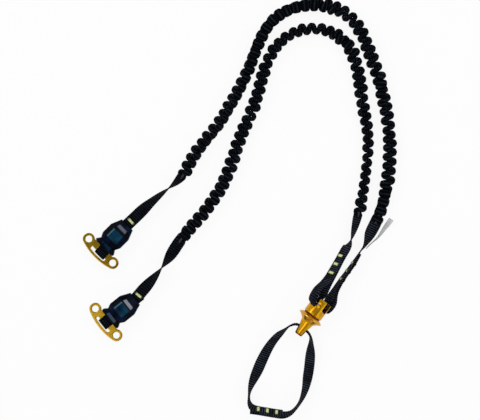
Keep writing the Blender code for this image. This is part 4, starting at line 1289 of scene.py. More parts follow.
    def _axial(self, mesh: bpy.types.Mesh) -> tuple[Array, Array]:
        """How far a mesh's points lie along the swivel from its tip, and out from its axis."""
        points = moved(self.place.inverted(), read(mesh.vertices, "co", float, 3))
        return points[:, 0], np.linalg.norm(points[:, 1:], axis=1)

    def _crown(self) -> None:
        """Skirt, floor and posts: a cup with two slots across it and a hole for each pin."""
        start, end, edge = self.head_start, self.head_start + self.head_length, self.edge
        floor = start + self.head_floor
        hole = self.axle_radius + self.axle_clearance
        outline = np.array([
            (start, hole), (start, self.head_radius - edge), (start + edge, self.head_radius),
            (end - edge, self.head_radius), (end, self.head_radius - edge), (end, self.cup_radius + edge),
            (end - edge, self.cup_radius), (floor, self.cup_radius), (floor, hole),
        ])
        ring = wrapped_tube(moved(self.place, lathed(outline, self.segments)))
        crown = made_of("swivel_crown_shell", ring)
        cutters = [self._window(angle) for angle in (math.pi / 4, -math.pi / 4)]
        cutters += [self._pin_hole(window) for window in (-1, 1)]
        cut(crown, cutters)
        modified(crown, "BEVEL", width=0.5 * edge, segments=2, limit_method="ANGLE",
                 angle_limit=math.radians(35.0))
        sharpened(crown.data)
        _, out = self._axial(crown.data)
        # Painted shade inside the crown, within the cup
        add_wear_and_light(crown.data, depth=1.0 - smooth(out, self.cup_radius + edge, self.head_radius - edge))
        self.palette.dress(crown, Slot.GOLD, "swivel_crown", "swivel_head")

    def _window(self, angle: float) -> Solid:
        """A slot with rounded corners right across the crown, turned about its axis.

        Args:
            angle: The turn, in radians.

        Returns:
            The cutter.
        """
        half = self.window_width / 2
        end = self.head_start + self.head_length + self.window_width
        centre = (self.window_start + self.window_corner, half - self.window_corner)
        near = arc(centre, self.window_corner, 180.0, 90.0, 6)
        outline = np.concatenate([near, [(end, half), (end, -half)], near[::-1] * (1, -1)])
        rings = extruded(outline, -1.5 * self.head_radius, 1.5 * self.head_radius)
        return closed_tube(moved(self.place @ Matrix.Rotation(angle, 4, "X"), rings))

    def _pin_hole(self, window: int) -> Solid:
        """A cylinder for one pin's hole.

        Args:
            window: The pin's window.

        Returns:
            The cutter.
        """
        radius = self.pin_radius + self.pin_clearance
        outline = np.array([(-self.head_radius, radius), (self.head_radius, radius)])
        rings = lathed(outline, self.segments // 4)
        return closed_tube(moved(self.place @ self.pin_place(window), rings))

    def _pin(self, name: str, window: int) -> None:
        """A steel cross pin with rounded ends.

        Args:
            name: Its arm.
            window: Its window.
        """
        half, radius, edge = self.pin_half_length, self.pin_radius, 0.4 * self.edge
        end = arc((half - edge, radius - edge), edge, 90.0, 0.0, 5)
        rings = lathed(np.concatenate([end[::-1] * (-1, 1), end]), self.segments // 3)
        pin = made_of(f"{name}_cross_pin", closed_tube(moved(self.place @ self.pin_place(window), rings)))
        sharpened(pin.data)
        self.palette.dress(pin, Slot.STEEL, "swivel_crown", f"web_pin_{name}")

    def _washer(self) -> None:
        """The washer that shows as a dark line between tail and crown."""
        bore = self.axle_radius + GAP
        start, end = self.washer_start, self.washer_start + self.washer_thickness
        lip = 0.2 * self.washer_thickness
        outline = np.array([
            (start, bore), (start, self.washer_radius - lip), (start + lip, self.washer_radius),
            (end - lip, self.washer_radius), (end, self.washer_radius - lip), (end, bore),
        ])
        ring = wrapped_tube(moved(self.place, lathed(outline, self.segments)))
        washer = made_of("bearing_washer_ring", ring)
        sharpened(washer.data)
        self.palette.dress(washer, Slot.GROOVE, "swivel_tail", "thrust_washer")


# Harness loop

@dataclass
class HarnessLoop:
    """The stitched webbing loop in the swivel's eye."""

    palette: Palette
    swivel: Swivel
    bunched_width: float = 0.0056
    bunched_thickness: float = 0.0030
    bunched_reach: float = 0.0065
    flat_reach: float = 0.022
    eye_straight: float = 0.007
    tacks: tuple = (0.0090, 0.0196, 0.0303)
    step: float = 0.00033
    path_step: float = 0.004
    tack: BarTack = BarTack()

    def __post_init__(self) -> None:
        """Lay the route: along the bottom, up the right, through the eye, down the left and lapped."""
        bottom = Route(LOOP_RIGHT)
        centre, _, normal, _ = bottom.frames(LOOP_OVERLAP)
        lapped = centre + (TAPE_THICKNESS + GAP) * normal
        laps = [(*point, roll) for point, roll in zip(lapped, bottom.roll_at(LOOP_OVERLAP))]
        eye = [(*(self.swivel.place @ Vector((self.swivel.eye_x, -right, 0.0))), 0.0)
               for right in (self.eye_straight, 0.0, -self.eye_straight)]
        self.route = Route(LOOP_RIGHT + eye + LOOP_LEFT + laps)
        self.eye_length = self.route.length_at(len(LOOP_RIGHT) + 1)

    def build(self) -> None:
        lengths = spaced(0.0, self.route.length, self.step)
        centre, _, normal, side = self.route.frames(lengths)
        flat = smooth(np.abs(lengths - self.eye_length), self.bunched_reach, self.flat_reach)
        width = mix(self.bunched_width, TAPE_WIDTH, flat)
        thickness = mix(self.bunched_thickness, TAPE_THICKNESS, flat)
        band = Band(centre, normal, side, width / 2, thickness / 2)
        loop = made_of("harness_webbing", band.solid())
        self.palette.dress(loop, Slot.WEBBING, "harness_loop", "harness_loop")
        lift = 1.5 * TAPE_THICKNESS + 2 * GAP + self.tack.thread / 2
        for number, middle in enumerate(self.tacks, 1):
            piece = made_of(f"harness_stitches_{number}", self.tack.solid(self.route, middle, lift))
            self.palette.dress(piece, Slot.THREAD, "harness_loop", f"harness_tack_{number}")
        path = self._path()

    def _path(self) -> Array:
        """The loop's line: down the left, along the lap and up the right.

        Returns:
            Points from the eye to the eye.
        """
        down = spaced(self.eye_length, self.route.length, self.path_step)
        back = spaced(LOOP_OVERLAP[-1], self.eye_length, self.path_step)
        return np.concatenate([self.route.centre(down), self.route.centre(back)[1:]])


# Arms

# Shares of a facet's width at which a grip's shell has points, closer beside its corners
FACET_SHARES = np.concatenate([[0.04, 0.085, 0.11, 0.135], np.linspace(0.17, 0.83, 8),
                               [0.865, 0.89, 0.915, 0.96]])

# The rounding at a shell's end, in shares of its edge: how far ahead and how far drawn in, from the end
END_ROUND = np.array([(1.0, 0.87, 0.5), (1.0, 0.5, 0.13)])


@dataclass(frozen=True)
class GripShape:
    """Sizes of the toggle end: toggle plate, grip sleeve and collar, along the toggle's own X axis."""

    height: float = 0.011
    plate: float = 0.0030
    hole_spacing: float = 0.0388
    hole_radius: float = 0.00385
    lobe_radius: float = 0.0069
    rim_x: float = -0.0099
    outer_bar: float = 0.0030
    bar_start: float = -0.0028
    bar_end: float = 0.0052
    bar_half_length: float = 0.0128
    slot_length: float = 0.0214
    slot_corner: float = 0.0008
    plate_edge: float = 0.0005
    flat_inset: float = 0.6
    flat_normal: float = 0.99
    wrap_start: float = 0.0005
    legs_part: float = 0.0052
    legs_meet: float = 0.0112
    tape_end: float = 0.0507
    tack_x: float = 0.0485
    drift: float = 0.0022
    collar_start: float = 0.0058
    collar_length: float = 0.0059
    collar_lip: float = 0.0016
    sleeve_length: float = 0.0305
    nose_taper: float = 0.0055
    tail_taper: float = 0.0115
    tail_tip: float = 0.0055
    sleeve_width: float = 0.0269
    nose_width: float = 0.0214
    tail_width: float = 0.0178
    nose_height: float = 0.0170
    tail_height: float = 0.0125
    chamfer: float = 0.0055
    collar_width: float = 0.0275
    collar_height: float = 0.0190
    end_edge: float = 0.0004
    shell_step: float = 0.00045
    shell_rounding: float = 0.0007
    corner_radius: float = 0.0006
    corner_points: int = 5
    panel_depth: float = 0.00035
    panel_soft: float = 0.0006
    band_soft: float = 0.0003
    mark_fade: tuple = (0.0012, 0.0005)
    # Where the painted highlight along the panel's rim fades in
    rim_highlight_fade: tuple = (0.0026, 0.0018)
    face_depth: float = 0.0002
    bore_chamfer: float = 0.0006
    bore_corner: float = 0.0003
    bore_room: float = 0.001
    thread_room: float = 0.00045
    slide_room: float = 0.00025
    edge_angle: float = 50.0
    # How fast the grip's edge mark, for rubbing and painted highlights, grows with sharpness
    wear_and_light_gain: float = 12.0

    @property
    def tilt_x(self) -> float:
        """Where the toggle's tilt axis lies."""
        return (self.bar_start + self.bar_end) / 2

    @property
    def rim_radius(self) -> float:
        """Radius of the toggle's outer rim, so that it runs smoothly into both lobes."""
        half = self.hole_spacing / 2
        return (self.rim_x ** 2 + half ** 2 - self.lobe_radius ** 2) / (2 * (-self.rim_x - self.lobe_radius))


def octagon_rings(x: Array, half_y: Array, half_z: Array, chamfer: Array, radius: float,
                  corner: int) -> Array:
    """Sections of a box with chamfered edges, whose eight corners are rounded.

    The octagon is drawn in by the radius, which takes (2 - sqrt 2) radius off its chamfer, and each
    corner gets an arc of that radius. The facets between the arcs get points at shares of their width.

    Args:
        x: Places of the sections.
        half_y: Half widths.
        half_z: Half heights.
        chamfer: Chamfers of the plain octagons.
        radius: Rounding radius.
        corner: Points on each arc.

    Returns:
        Points, shape (sections, 8 * (corner + facet shares), 3), from +Y towards +Z.
    """
    y, z = half_y - radius, half_z - radius
    c = chamfer - (2 - math.sqrt(2)) * radius
    quarter = [(y, z - c), (y - c, z)]
    corners = quarter + [(-a, b) for a, b in reversed(quarter)]
    corners = corners + [(-a, -b) for a, b in corners]
    corners = np.stack([np.stack(pair, axis=-1) for pair in corners], axis=1)
    start = np.arange(8) * 45.0
    turn = np.radians(start[:, None] + np.linspace(0.0, 45.0, corner)[None, :])
    arcs = corners[:, :, None] + radius * np.stack([np.cos(turn), np.sin(turn)], axis=2)[None]
    after = np.roll(arcs, -1, axis=1)[:, :, :1]
    between = mix(arcs[:, :, -1:], after, FACET_SHARES[None, None, :, None])
    rings = np.concatenate([arcs, between], axis=2).reshape(len(y), -1, 2)
    return np.concatenate([np.broadcast_to(x[:, None, None], (*rings.shape[:2], 1)), rings], axis=2)


def rounded_profile(x: Array, places: tuple, values: tuple, window: float) -> Array:
    """A value that runs straight between places, with its corners rounded.

    Args:
        x: Where the value is wanted.
        places: Where it is given.
        values: The given values.
        window: The straight runs are averaged over this far to each side.

    Returns:
        The values.
    """
    shifts = np.linspace(-window, window, 9)
    return np.mean([np.interp(x + shift, places, values) for shift in shifts], axis=0)


@dataclass
class Arm:
    """One elastic arm: toggle, grip, webbing on both sides, the gathered length and its stitches."""

    palette: Palette
    swivel: Swivel
    name: str
    toggle: tuple
    turn: float
    flat: list
    gathered: list
    doubled: list
    window: int
    window_roll: float
    bulge: list
    leg_width: float
    drift_share: float
    stretch_from: float
    folds: tuple
    shape: GripShape = GripShape()
    tack: BarTack = BarTack()
    tool_run: tuple = (0.036, 0.044)
    bunched_reach: float = 0.008
    inner_flat: float = 0.0125
    leg_free: float = 0.0025
    leg_spread: float = 0.0062
    leg_fold: float = 0.0016
    leg_fold_in: tuple = (0.004, 0.010)
    leg_fold_out: tuple = (0.008, 0.014)
    outer_flat: float = 0.016
    layers_meet: float = 0.035
    stitched: float = 0.075
    fade_start: float = 0.002
    fade: float = 0.008
    swivel_tacks: tuple = (0.0390, 0.0505, 0.0615)
    step: float = 0.00033
    pitch: float = 0.0105
    fold_reach: float = 0.0058
    fold_heading: float = math.radians(93.0)
    fold_linger: float = 1.0
    fold_samples: int = 721
    fold_drift: tuple = (0.0003, 0.0005)
    fold_uneven: tuple = (0.06, 0.05)
    fold_fan: float = 0.9
    fold_thickness: float = 0.0052
    fold_fill: float = 0.04
    fold_width: float = 0.0126
    fold_sway: float = 0.04
    fold_flare: float = 0.12
    fold_corner_power: float = 2.7
    fold_step: float = 0.00044
    fade_turns: float = 1.1
    turn_samples: int = 160
    flare_loss: float = 2.2
    gather_reach: float = 0.92
    stretch_clear: float = 0.0002
    stretch_end: float = 0.007
    core_radius: float = 0.0015
    core_sides: int = 12
    core_step: float = 0.003
    tilt_run: tuple = (0.0078, 0.0034)
    label_step: float = 0.0008
    label_half: tuple = (0.003, 0.00025)
    label_ripple: tuple = (0.0003, 260.0)

    def __post_init__(self) -> None:
        """Lay the arm's route, from inside its grip sleeve to its cross pin."""
        self.place = (Matrix.Translation((*self.toggle, self.shape.height))
                      @ Matrix.Rotation(self.turn, 4, "Z"))
        start = [(*(self.place @ Vector((x, 0.0, LAYER_OFFSET))), 90.0) for x in self.tool_run]
        pin = self.swivel.pin_centre(self.window)
        entry = pin + Vector((self.bunched_reach, 0.0, 0.0))
        end = [(*(self.swivel.place @ point), self.window_roll) for point in (entry, pin)]
        self.route = Route(start + self.flat + self.gathered + self.doubled + end)
        first = len(start) + len(self.flat)
        last = first + len(self.gathered) - 1
        self.gather_start = (self.route.length_at(first - 1) + self.route.length_at(first)) / 2
        self.gather_end = mix(self.route.length_at(last), self.route.length_at(last + 1), self.gather_reach)

    def build(self) -> None:
        """Make every piece of the arm."""
        self._toggle()
        self._sleeve()
        self._collar()
        self._toggle_webbing()
        self._gathered_webbing()
        self._swivel_webbing()

    # The gathered length

    def _gathered_webbing(self) -> None:
        """The ruffled webbing and the elastic inside it, between swivel and tool end."""
        webbing = made_of(f"{self.name}_gathered_webbing", self._ruffles())
        # The darker webbing copy paints shade on the gathered length
        self.palette.dress(webbing, Slot.WEBBING, None, f"{self.name}_gathered_sleeve",
                           self.palette.gathered)
        core = made_of(f"{self.name}_elastic_cord", self._core())
        self.palette.dress(core, Slot.ELASTIC, None, f"{self.name}_elastic_core")
        near = self.route.centre([self.gather_start + self.stretch_clear])[0]
        for piece in (webbing, core):
            near[0] + self.stretch_end
            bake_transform(piece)
        path = self.route.centre(spaced(self.gather_end, self.gather_start, 0.006))

    def _fold(self, turn: Array) -> tuple[Array, Array]:
        """One fold of the gathered ribbon, over and over.

        The ribbon's heading swings to both sides and lingers there: it is the greatest heading times
        tanh(linger sin turn) / tanh(linger). Sums of its cosine and sine give the line, which is scaled
        to the pitch and to the reach.

        Args:
            turn: How far along the folds, in radians.

        Returns:
            How far the line runs ahead of an even pace along the route, and how far it lies over it.
        """
        once = np.linspace(0.0, 2 * math.pi, self.fold_samples)
        heading = self.fold_heading * np.tanh(self.fold_linger * np.sin(once)) / math.tanh(self.fold_linger)
        ahead = np.cumsum(np.cos(heading))
        ahead = (ahead - ahead[0]) / (ahead[-1] - ahead[0]) * self.pitch - self.pitch * once / (2 * math.pi)
        over = np.cumsum(np.sin(heading))
        over = (2.0 * (over - over.min()) / (over.max() - over.min()) - 1.0) * self.fold_reach
        place = np.mod(turn, 2 * math.pi)
        return np.interp(place, once, ahead), np.interp(place, once, over)

    def _winding(self, turn: Array, turns: int) -> tuple[Array, Array, Array]:
        """The gathered ribbon's middle, winding to and fro over the route like a river.

        Slow waves make the folds drift and differ, and all of it fades out close to both ends.

        Args:
            turn: How far along the folds, in radians.
            turns: How many folds to each side the ribbon has.

        Returns:
            The points, how full the folds are there, from 0 to 1, and their vectors from the route.
        """
        share = turn / (2 * math.pi * turns)
        full = smooth(np.minimum(share, 1.0 - share) * turns, 0.0, self.fade_turns)
        fanned, reach = self._changing(share)
        drift = (self.fold_drift[0] * np.sin(0.31 * turn)
                 + self.fold_drift[1] * np.sin(0.173 * turn + self.window))
        uneven = (1.0 + self.fold_uneven[0] * np.sin(0.47 * turn + 2.0 * self.window)
                  + self.fold_uneven[1] * np.sin(0.29 * turn + 2.0))
        ahead, over = self._fold(turn)
        lengths = mix(self.gather_start, self.gather_end, share) + full * (drift + ahead)
        centre, _, normal, _ = self.route.frames(lengths)
        away = (full * (1.0 - self.fold_fan * np.abs(fanned)) * reach * uneven * over)[:, None] * normal
        return centre + away, full, away

    def _changing(self, share: Array) -> tuple[Array, Array]:
        """How much of a fold's reach moves from edge to edge there, and the reach itself."""
        places, fans, reach = np.array(self.folds).T
        return np.interp(share, places, fans), np.interp(share, places, reach)

    def _ruffles(self) -> Solid:
        """The gathered webbing: a thick soft ribbon on the winding line, flat again at both ends.

        Its width flares with the cosine of the turn, and a fan moves its reach from edge to edge.

        Returns:
            The closed ribbon.
        """
        turns = round((self.gather_end - self.gather_start) / self.pitch)
        fine = np.linspace(0.0, 2 * math.pi * turns, turns * self.turn_samples)
        walked = along(self._winding(fine, turns)[0])
        turn = np.interp(spaced(0.0, walked[-1], self.fold_step), walked, fine)
        middle, full, away = self._winding(turn, turns)
        forward = np.gradient(middle, axis=0)
        forward /= np.linalg.norm(forward, axis=1, keepdims=True)
        share = turn / (2 * math.pi * turns)
        lengths = mix(self.gather_start, self.gather_end, share)
        side = self.route.frames(lengths)[3]
        fanned = self._changing(share)[0]
        flare = -self.fold_flare * np.sin(np.radians(self.route.roll_at(lengths))) * np.cos(turn)
        flare = flare * np.maximum(1.0 - self.flare_loss * np.abs(fanned), 0.0)
        side = side - np.einsum("ij,ij->i", side, forward)[:, None] * forward
        side /= np.linalg.norm(side, axis=1, keepdims=True)
        puffed = self.fold_thickness * (1.0 - self.fold_fill * np.cos(2 * turn))
        half = mix(TAPE_THICKNESS, puffed, full) / 2
        sway = self.fold_sway * np.sin(1.3 * turn)
        width = mix(TAPE_WIDTH, self.fold_width * (1.0 + sway + flare), full)
        fan = (fanned / (1.0 - self.fold_fan * np.abs(fanned)))[:, None] * away
        corners = mix(Band.corner_power, self.fold_corner_power, full)[:, None]
        return Band(middle, np.cross(forward, side), side, width / 2, half,
                    corner_power=corners, around=18, fan=fan).solid()

    def _core(self) -> Solid:
        """The elastic cord, a round tube along the gathered length.

        Returns:
            The closed tube.
        """
        lengths = spaced(self.gather_start, self.gather_end, self.core_step)
        centre, _, normal, side = self.route.frames(lengths)
        turn = 2 * math.pi * np.arange(self.core_sides) / self.core_sides
        rings = centre[:, None] + self.core_radius * (
            np.cos(turn)[None, :, None] * normal[:, None] + np.sin(turn)[None, :, None] * side[:, None])
        weave = np.zeros(rings.shape)
        weave[:, :, 0] = turn / (2 * math.pi)
        weave[:, :, 1] = lengths[:, None]
        return closed_tube(rings, weave)

    # Webbing on the swivel's side

    def _stitched_leg(self) -> Band:
        """The leg that leaves the window in a bulge and then lies on the other leg to its end.

        The bulge is a line of its own beside the pin, whose x is the distance from the pin and whose y
        is the height over the route. The webbing's face is square to that line.

        Returns:
            The webbing from the cross pin to the stitched end.
        """
        swivel, meet = self.swivel, self.layers_meet
        bulge = Route([(-swivel.turn_radius, 0.0, 0.0, 0.0), *self.bulge, (meet, LAYER_OFFSET, 0.0, 0.0)])
        steps = spaced(0.0, bulge.length, self.step)
        line, forward, _, _ = bulge.frames(steps)
        rest = spaced(meet, self.stitched, self.step)[1:]
        bulging = np.column_stack([line, forward[:, :2], np.radians(bulge.roll_at(steps))])
        lying = np.tile((0.0, LAYER_OFFSET, 0.0, 1.0, 0.0, 0.0), (len(rest), 1))
        lying[:, 0] = rest
        rows = np.concatenate([bulging, lying]).T
        from_pin = rows[0]
        height, lift, onward, outward, twist = rows[1:, :, None]

        centre, tangent, normal, _ = self.route.frames(self.route.length - np.maximum(from_pin, 0.0))
        centre = centre + np.maximum(-from_pin, 0.0)[:, None] * tangent
        normal = np.cos(twist) * normal + np.sin(twist) * np.cross(tangent, normal)
        side = np.cross(normal, tangent)
        walked = np.concatenate([steps, bulge.length + rest - meet])
        width = mix(swivel.tape_width, self.leg_width, smooth(walked, self.leg_free, self.leg_spread))
        width = mix(width, TAPE_WIDTH, smooth(from_pin, self.outer_flat, meet))
        fold = (self.leg_fold * smooth(walked, *self.leg_fold_in)
                * (1.0 - smooth(from_pin, *self.leg_fold_out)))
        inward = -outward * tangent - onward * normal
        middle = centre + height * normal + lift * np.array((0.0, 0.0, 1.0)) + fold[:, None] / 2 * inward
        return Band(middle, inward, side, width / 2, (self._bunched(width) + fold) / 2)

    def _bunched(self, width: Array) -> Array:
        """Thickness that keeps the webbing's cross-section where it is squeezed narrow."""
        return np.maximum(TAPE_THICKNESS, self.swivel.tape_width * self.swivel.tape_thickness / width)

    def _swivel_webbing(self) -> None:
        """Webbing from the gathered length, round the cross pin and back to its stitched end."""
        route, swivel = self.route, self.swivel
        out = spaced(self.gather_end, route.length, self.step)
        centre, tangent, normal, side = route.frames(out)
        to_pin = route.length - out
        single = self.stitched + self.fade_start
        doubled = 1.0 - smooth(to_pin, single, single + self.fade)
        flat = smooth(to_pin, self.bunched_reach, self.inner_flat)
        offset = (mix(swivel.turn_radius, LAYER_OFFSET, flat) * doubled)[:, None]
        width = mix(swivel.tape_width, TAPE_WIDTH, flat)
        going = Band(centre - offset * normal, normal, side, width / 2, self._bunched(width) / 2)

        pin, ahead, outward, across = centre[-1], tangent[-1], normal[-1], side[-1]
        turn = np.radians(np.linspace(0.0, 90.0, 14))[1:-1, None]
        round_pin = pin + swivel.turn_radius * (np.sin(turn) * ahead - np.cos(turn) * outward)
        turned_normal = np.cos(turn) * outward - np.sin(turn) * ahead
        whole = np.ones(len(turn))
        turning = Band(round_pin, turned_normal, np.tile(across, (len(turn), 1)),
                       whole * swivel.tape_width / 2, whole * swivel.tape_thickness / 2)
        returning = self._stitched_leg()
        webbing = made_of(f"{self.name}_swivel_webbing", Band.joined(going, turning, returning).solid())
        self.palette.dress(webbing, Slot.WEBBING, "swivel_crown", f"{self.name}_swivel_tape")
        lift = -(LAYER_OFFSET + TAPE_THICKNESS / 2 + GAP / 2 + self.tack.thread / 2)
        for number, distance in enumerate(self.swivel_tacks, 1):
            middle = route.length - distance
            solid = self.tack.solid(route, middle, lift).joined(self.tack.solid(route, middle, -lift))
            piece = made_of(f"{self.name}_swivel_stitches_{number}", solid)
            self.palette.dress(piece, Slot.THREAD, "swivel_crown",
                                             f"{self.name}_swivel_tack_{number}")
        if self.name == "outer":
            self._label()
        path = self._between_legs(spaced(route.length, self.gather_end, 0.005))

    def _between_legs(self, lengths: Array) -> Array:
        """Points midway between the route and the stitched leg's bulge.

        Args:
            lengths: Lengths from the route's start.

        Returns:
            The points.
        """
        rows = np.array([(0.0, 0.0, 0.0, 0.0), *self.bulge[2:], (self.layers_meet, 0.0, 0.0, 0.0)])
        from_pin = self.route.length - lengths
        height, lift = (np.interp(from_pin, rows[:, 0], rows[:, i]) / 2 for i in (1, 2))
        centre, _, normal, _ = self.route.frames(lengths)
        return centre + height[:, None] * normal + lift[:, None] * np.array((0.0, 0.0, 1.0))

    def _label(self) -> Piece:
        """The small blank tab sewn in at the stitched end.

        Returns:
            The tab.
        """
        route = Route(LABEL_ROUTE)
        lengths = spaced(0.0, route.length, self.label_step)
        centre, _, normal, side = route.frames(lengths)
        ripple = self.label_ripple[0] * np.sin(lengths * self.label_ripple[1])[:, None]
        width, thickness = (half * np.ones(len(lengths)) for half in self.label_half)
        band = Band(centre + ripple * normal, normal, side, width, thickness, rib_relief=0.0,
                    edge_relief=0.0)
        label = made_of("label_film", band.solid())
        return self.palette.dress(label, Slot.LABEL, "swivel_crown", "label_tab")

    # Webbing on the tool's side

    def _wrap_offset(self, x: Array) -> Array:
        """How far each leg of the tool-side webbing lies from the middle, along the sleeve."""
        round_bar = self.shape.plate / 2 + GAP + TAPE_THICKNESS / 2
        return mix(round_bar, LAYER_OFFSET, smooth(x, self.shape.legs_part, self.shape.legs_meet))

    def _wrap_drift(self, x: Array) -> Array:
        """How far the webbing lies to one side of the middle, where it leaves the toggle's slot."""
        drift = self.drift_share * self.shape.drift
        return drift * (1.0 - smooth(x, self.shape.tilt_x, self.shape.legs_meet))

    def _wrap(self) -> tuple[Array, Array]:
        """The webbing's turn round the toggle's bar: in under the bar, half a circle, and back over it.

        Returns:
            Its line from the stitched end to the route's start, and its face normals, in the toggle's frame.
        """
        turn_x = self.shape.bar_start + self.shape.wrap_start
        under = spaced(self.shape.tape_end, turn_x, self.step)
        over = spaced(turn_x, self.tool_run[0], self.step)[:-1]
        angle = np.radians(np.linspace(0.0, 180.0, 20))[1:-1]
        outward = np.column_stack([-np.sin(angle), 0.0 * angle, -np.cos(angle)])
        middle = np.array((turn_x, self._wrap_drift(turn_x), 0.0))
        lines, faces = [middle + self._wrap_offset(turn_x) * outward], [outward]
        for x, sign, at in ((under, -1.0, 0), (over, 1.0, 2)):
            lines.insert(at, np.column_stack([x, self._wrap_drift(x), sign * self._wrap_offset(x)]))
            faces.insert(at, np.tile((0.0, 0.0, sign), (len(x), 1)))
        return np.concatenate(lines), np.concatenate(faces)

    def _toggle_webbing(self) -> None:
        """Webbing from its stitched end, round the toggle's bar and on to the gathered length."""
        shape = self.shape
        centre, normal = self._wrap()
        rotation = np.array(self.place)[:3, :3]
        side = np.tile(rotation @ (0.0, 1.0, 0.0), (len(centre), 1))
        lengths = spaced(0.0, self.gather_start, self.step)
        run = self.route.frames(lengths)
        centre = np.concatenate([moved(self.place, centre), run[0]])
        normal = np.concatenate([normal @ rotation.T, run[2]])
        side = np.concatenate([side, run[3]])
        ones = np.ones(len(centre))
        band = Band(centre, normal, side, ones * TAPE_WIDTH / 2, ones * TAPE_THICKNESS / 2)
        webbing = made_of(f"{self.name}_toggle_webbing", band.solid())
        # The darker webbing copy paints shade on the webbing round the toggle
        self.palette.dress(webbing, Slot.WEBBING, None, f"{self.name}_toggle_tape", self.palette.gathered)
        start, end = (self.place @ Vector((x, 0.0, 0.0)) for x in self.tilt_run)
        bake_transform(webbing)
        lift = TAPE_THICKNESS / 2 + GAP / 2 + self.tack.thread / 2
        tack = made_of(f"{self.name}_toggle_stitches",
                       self.tack.solid(self.route, shape.tack_x - self.tool_run[0], lift))
        self.palette.dress(tack, Slot.THREAD, f"{self.name}_tool_end", f"{self.name}_toggle_tack")
        x = spaced(self.tool_run[0], shape.bar_start + shape.wrap_start, 0.004)
        inside = moved(self.place, np.column_stack([x, np.zeros(len(x)), np.zeros(len(x))]))
        path = np.concatenate([self.route.centre(spaced(self.gather_start, 0.002, 0.004)), inside])

    # Toggle and grip

    def _toggle(self) -> None:
        """The gold plate: a straight inner bar, two lobes with holes, a bowed rim and a slot."""
        s = self.shape
        half, radius = s.hole_spacing / 2, s.rim_radius
        centre = s.rim_x + radius
        meet = math.degrees(math.atan2(half, centre))
        upper = arc((0.0, half), s.lobe_radius, -48.0, 180.0 - meet, 40)
        rim = arc((centre, 0.0), radius, 180.0 - meet, 180.0 + meet, 40)[1:-1]
        bar = np.array([(s.bar_end, -s.bar_half_length), (s.bar_end, s.bar_half_length)])
        outline = np.concatenate([bar, upper, rim, upper[::-1] * (1, -1)])
        inner = radius - s.outer_bar
        reach = math.degrees(math.asin((s.slot_length / 2 - s.slot_corner) / inner))
        bowed = arc((centre, 0.0), inner, 180.0 - reach, 180.0 + reach, 24)
        side, length = bowed[0][0] + s.slot_corner, s.slot_length / 2
        slot = np.concatenate([[(s.bar_start, -length), (s.bar_start, length), (side, length)], bowed,
                               [(side, -length)]])
        holes = [arc((0.0, y), s.hole_radius, 0.0, 352.5, 48) for y in (-half, half)]
        mesh = self._plate([outline, slot, *holes])
        mesh.transform(self.place)
        toggle = to_object(f"{self.name}_toggle_plate", mesh)
        sharpened(mesh)
        add_wear_and_light(mesh)
        self.palette.dress(toggle, Slot.GOLD, f"{self.name}_toggle", f"{self.name}_toggle",
                           self.palette.plate_gold)

    def _plate(self, outlines: list[Array]) -> bpy.types.Mesh:
        """A flat plate with round edges, from an outline and the outlines of its holes.

        Its flat faces are drawn in by part of the edge, so that the rounding's smooth shade stays outside.

        Args:
            outlines: Points of x and y round the plate, and round each hole.

        Returns:
            The mesh, flat at the origin.
        """
        s = self.shape
        curve = bpy.data.curves.new("plate", "CURVE")
        curve.dimensions = "2D"
        curve.fill_mode = "BOTH"
        curve.extrude = s.plate / 2 - s.plate_edge
        curve.bevel_depth = s.plate_edge
        curve.bevel_resolution = 3
        curve.offset = -s.plate_edge
        for outline in outlines:
            spline = curve.splines.new("POLY")
            spline.points.add(len(outline) - 1)
            rows = np.column_stack([outline, np.zeros(len(outline)), np.ones(len(outline))])
            spline.points.foreach_set("co", rows.ravel())
            spline.use_cyclic_u = True
        guide = to_object("plate_guide", curve)
        bpy.context.view_layer.update()
        mesh = bpy.data.meshes.new_from_object(guide.evaluated_get(bpy.context.evaluated_depsgraph_get()))
        bpy.data.objects.remove(guide, do_unlink=True)
        work = bmesh.new()
        work.from_mesh(mesh)
        bmesh.ops.remove_doubles(work, verts=work.verts, dist=1e-6)
        bmesh.ops.recalc_face_normals(work, faces=work.faces)
        flat = [face for face in work.faces if abs(face.normal.z) > s.flat_normal]
        bmesh.ops.inset_region(work, faces=flat, thickness=s.flat_inset * s.plate_edge,
                               use_even_offset=True)
        work.to_mesh(mesh)
        work.free()
        return mesh

    def _faceted(self, name: str, places: tuple, sizes: dict, bore: tuple, panel: tuple | None,
                 bands: list) -> Piece:
        """A faceted shell round a bore, in its place.

        Args:
            name: The piece's name.
            places: Where its size is given.
            sizes: Its width, height and chamfer at those places.
            bore: Half width and half height of the bore.
            panel: Start and end of the sunk panels on its top and bottom, or None.
            bands: Start, end, mark and strength of the teal and painted reflection bands across its top and
                bottom.

        Returns:
            The shell.
        """
        s = self.shape
        start, end = places[0], places[-1]
        x = spaced(start + s.end_edge, end - s.end_edge, s.shell_step)
        ahead, drawn_in = s.end_edge * END_ROUND
        inset = np.concatenate([drawn_in, np.zeros(len(x)), drawn_in[::-1]])
        x = np.concatenate([x[0] - ahead, x, x[-1] + ahead[::-1]])
        width, height, chamfer = (rounded_profile(x, places, sizes[key], s.shell_rounding)
                                  for key in ("width", "height", "chamfer"))
        outer = octagon_rings(x, width / 2 - inset, height / 2 - inset, chamfer, s.corner_radius,
                              s.corner_points)
        marks = self._marks(outer, width / 2 - chamfer, height / 2, panel, bands)
        if panel:
            outer[:, :, 2] -= np.sign(outer[:, :, 2]) * s.panel_depth * marks[:, :, 0]
        flat = np.ones(3)
        inner = octagon_rings(np.array([end, (start + end) / 2, start]), bore[0] * flat, bore[1] * flat,
                              s.bore_chamfer * flat, s.bore_corner, s.corner_points)
        solid = wrapped_tube(moved(self.place, np.concatenate([outer, inner])))
        solid.weave = np.concatenate([marks, np.zeros(inner.shape)]).reshape(-1, 3)
        shell = made_of(name, solid)
        sharpened(shell.data, s.edge_angle)
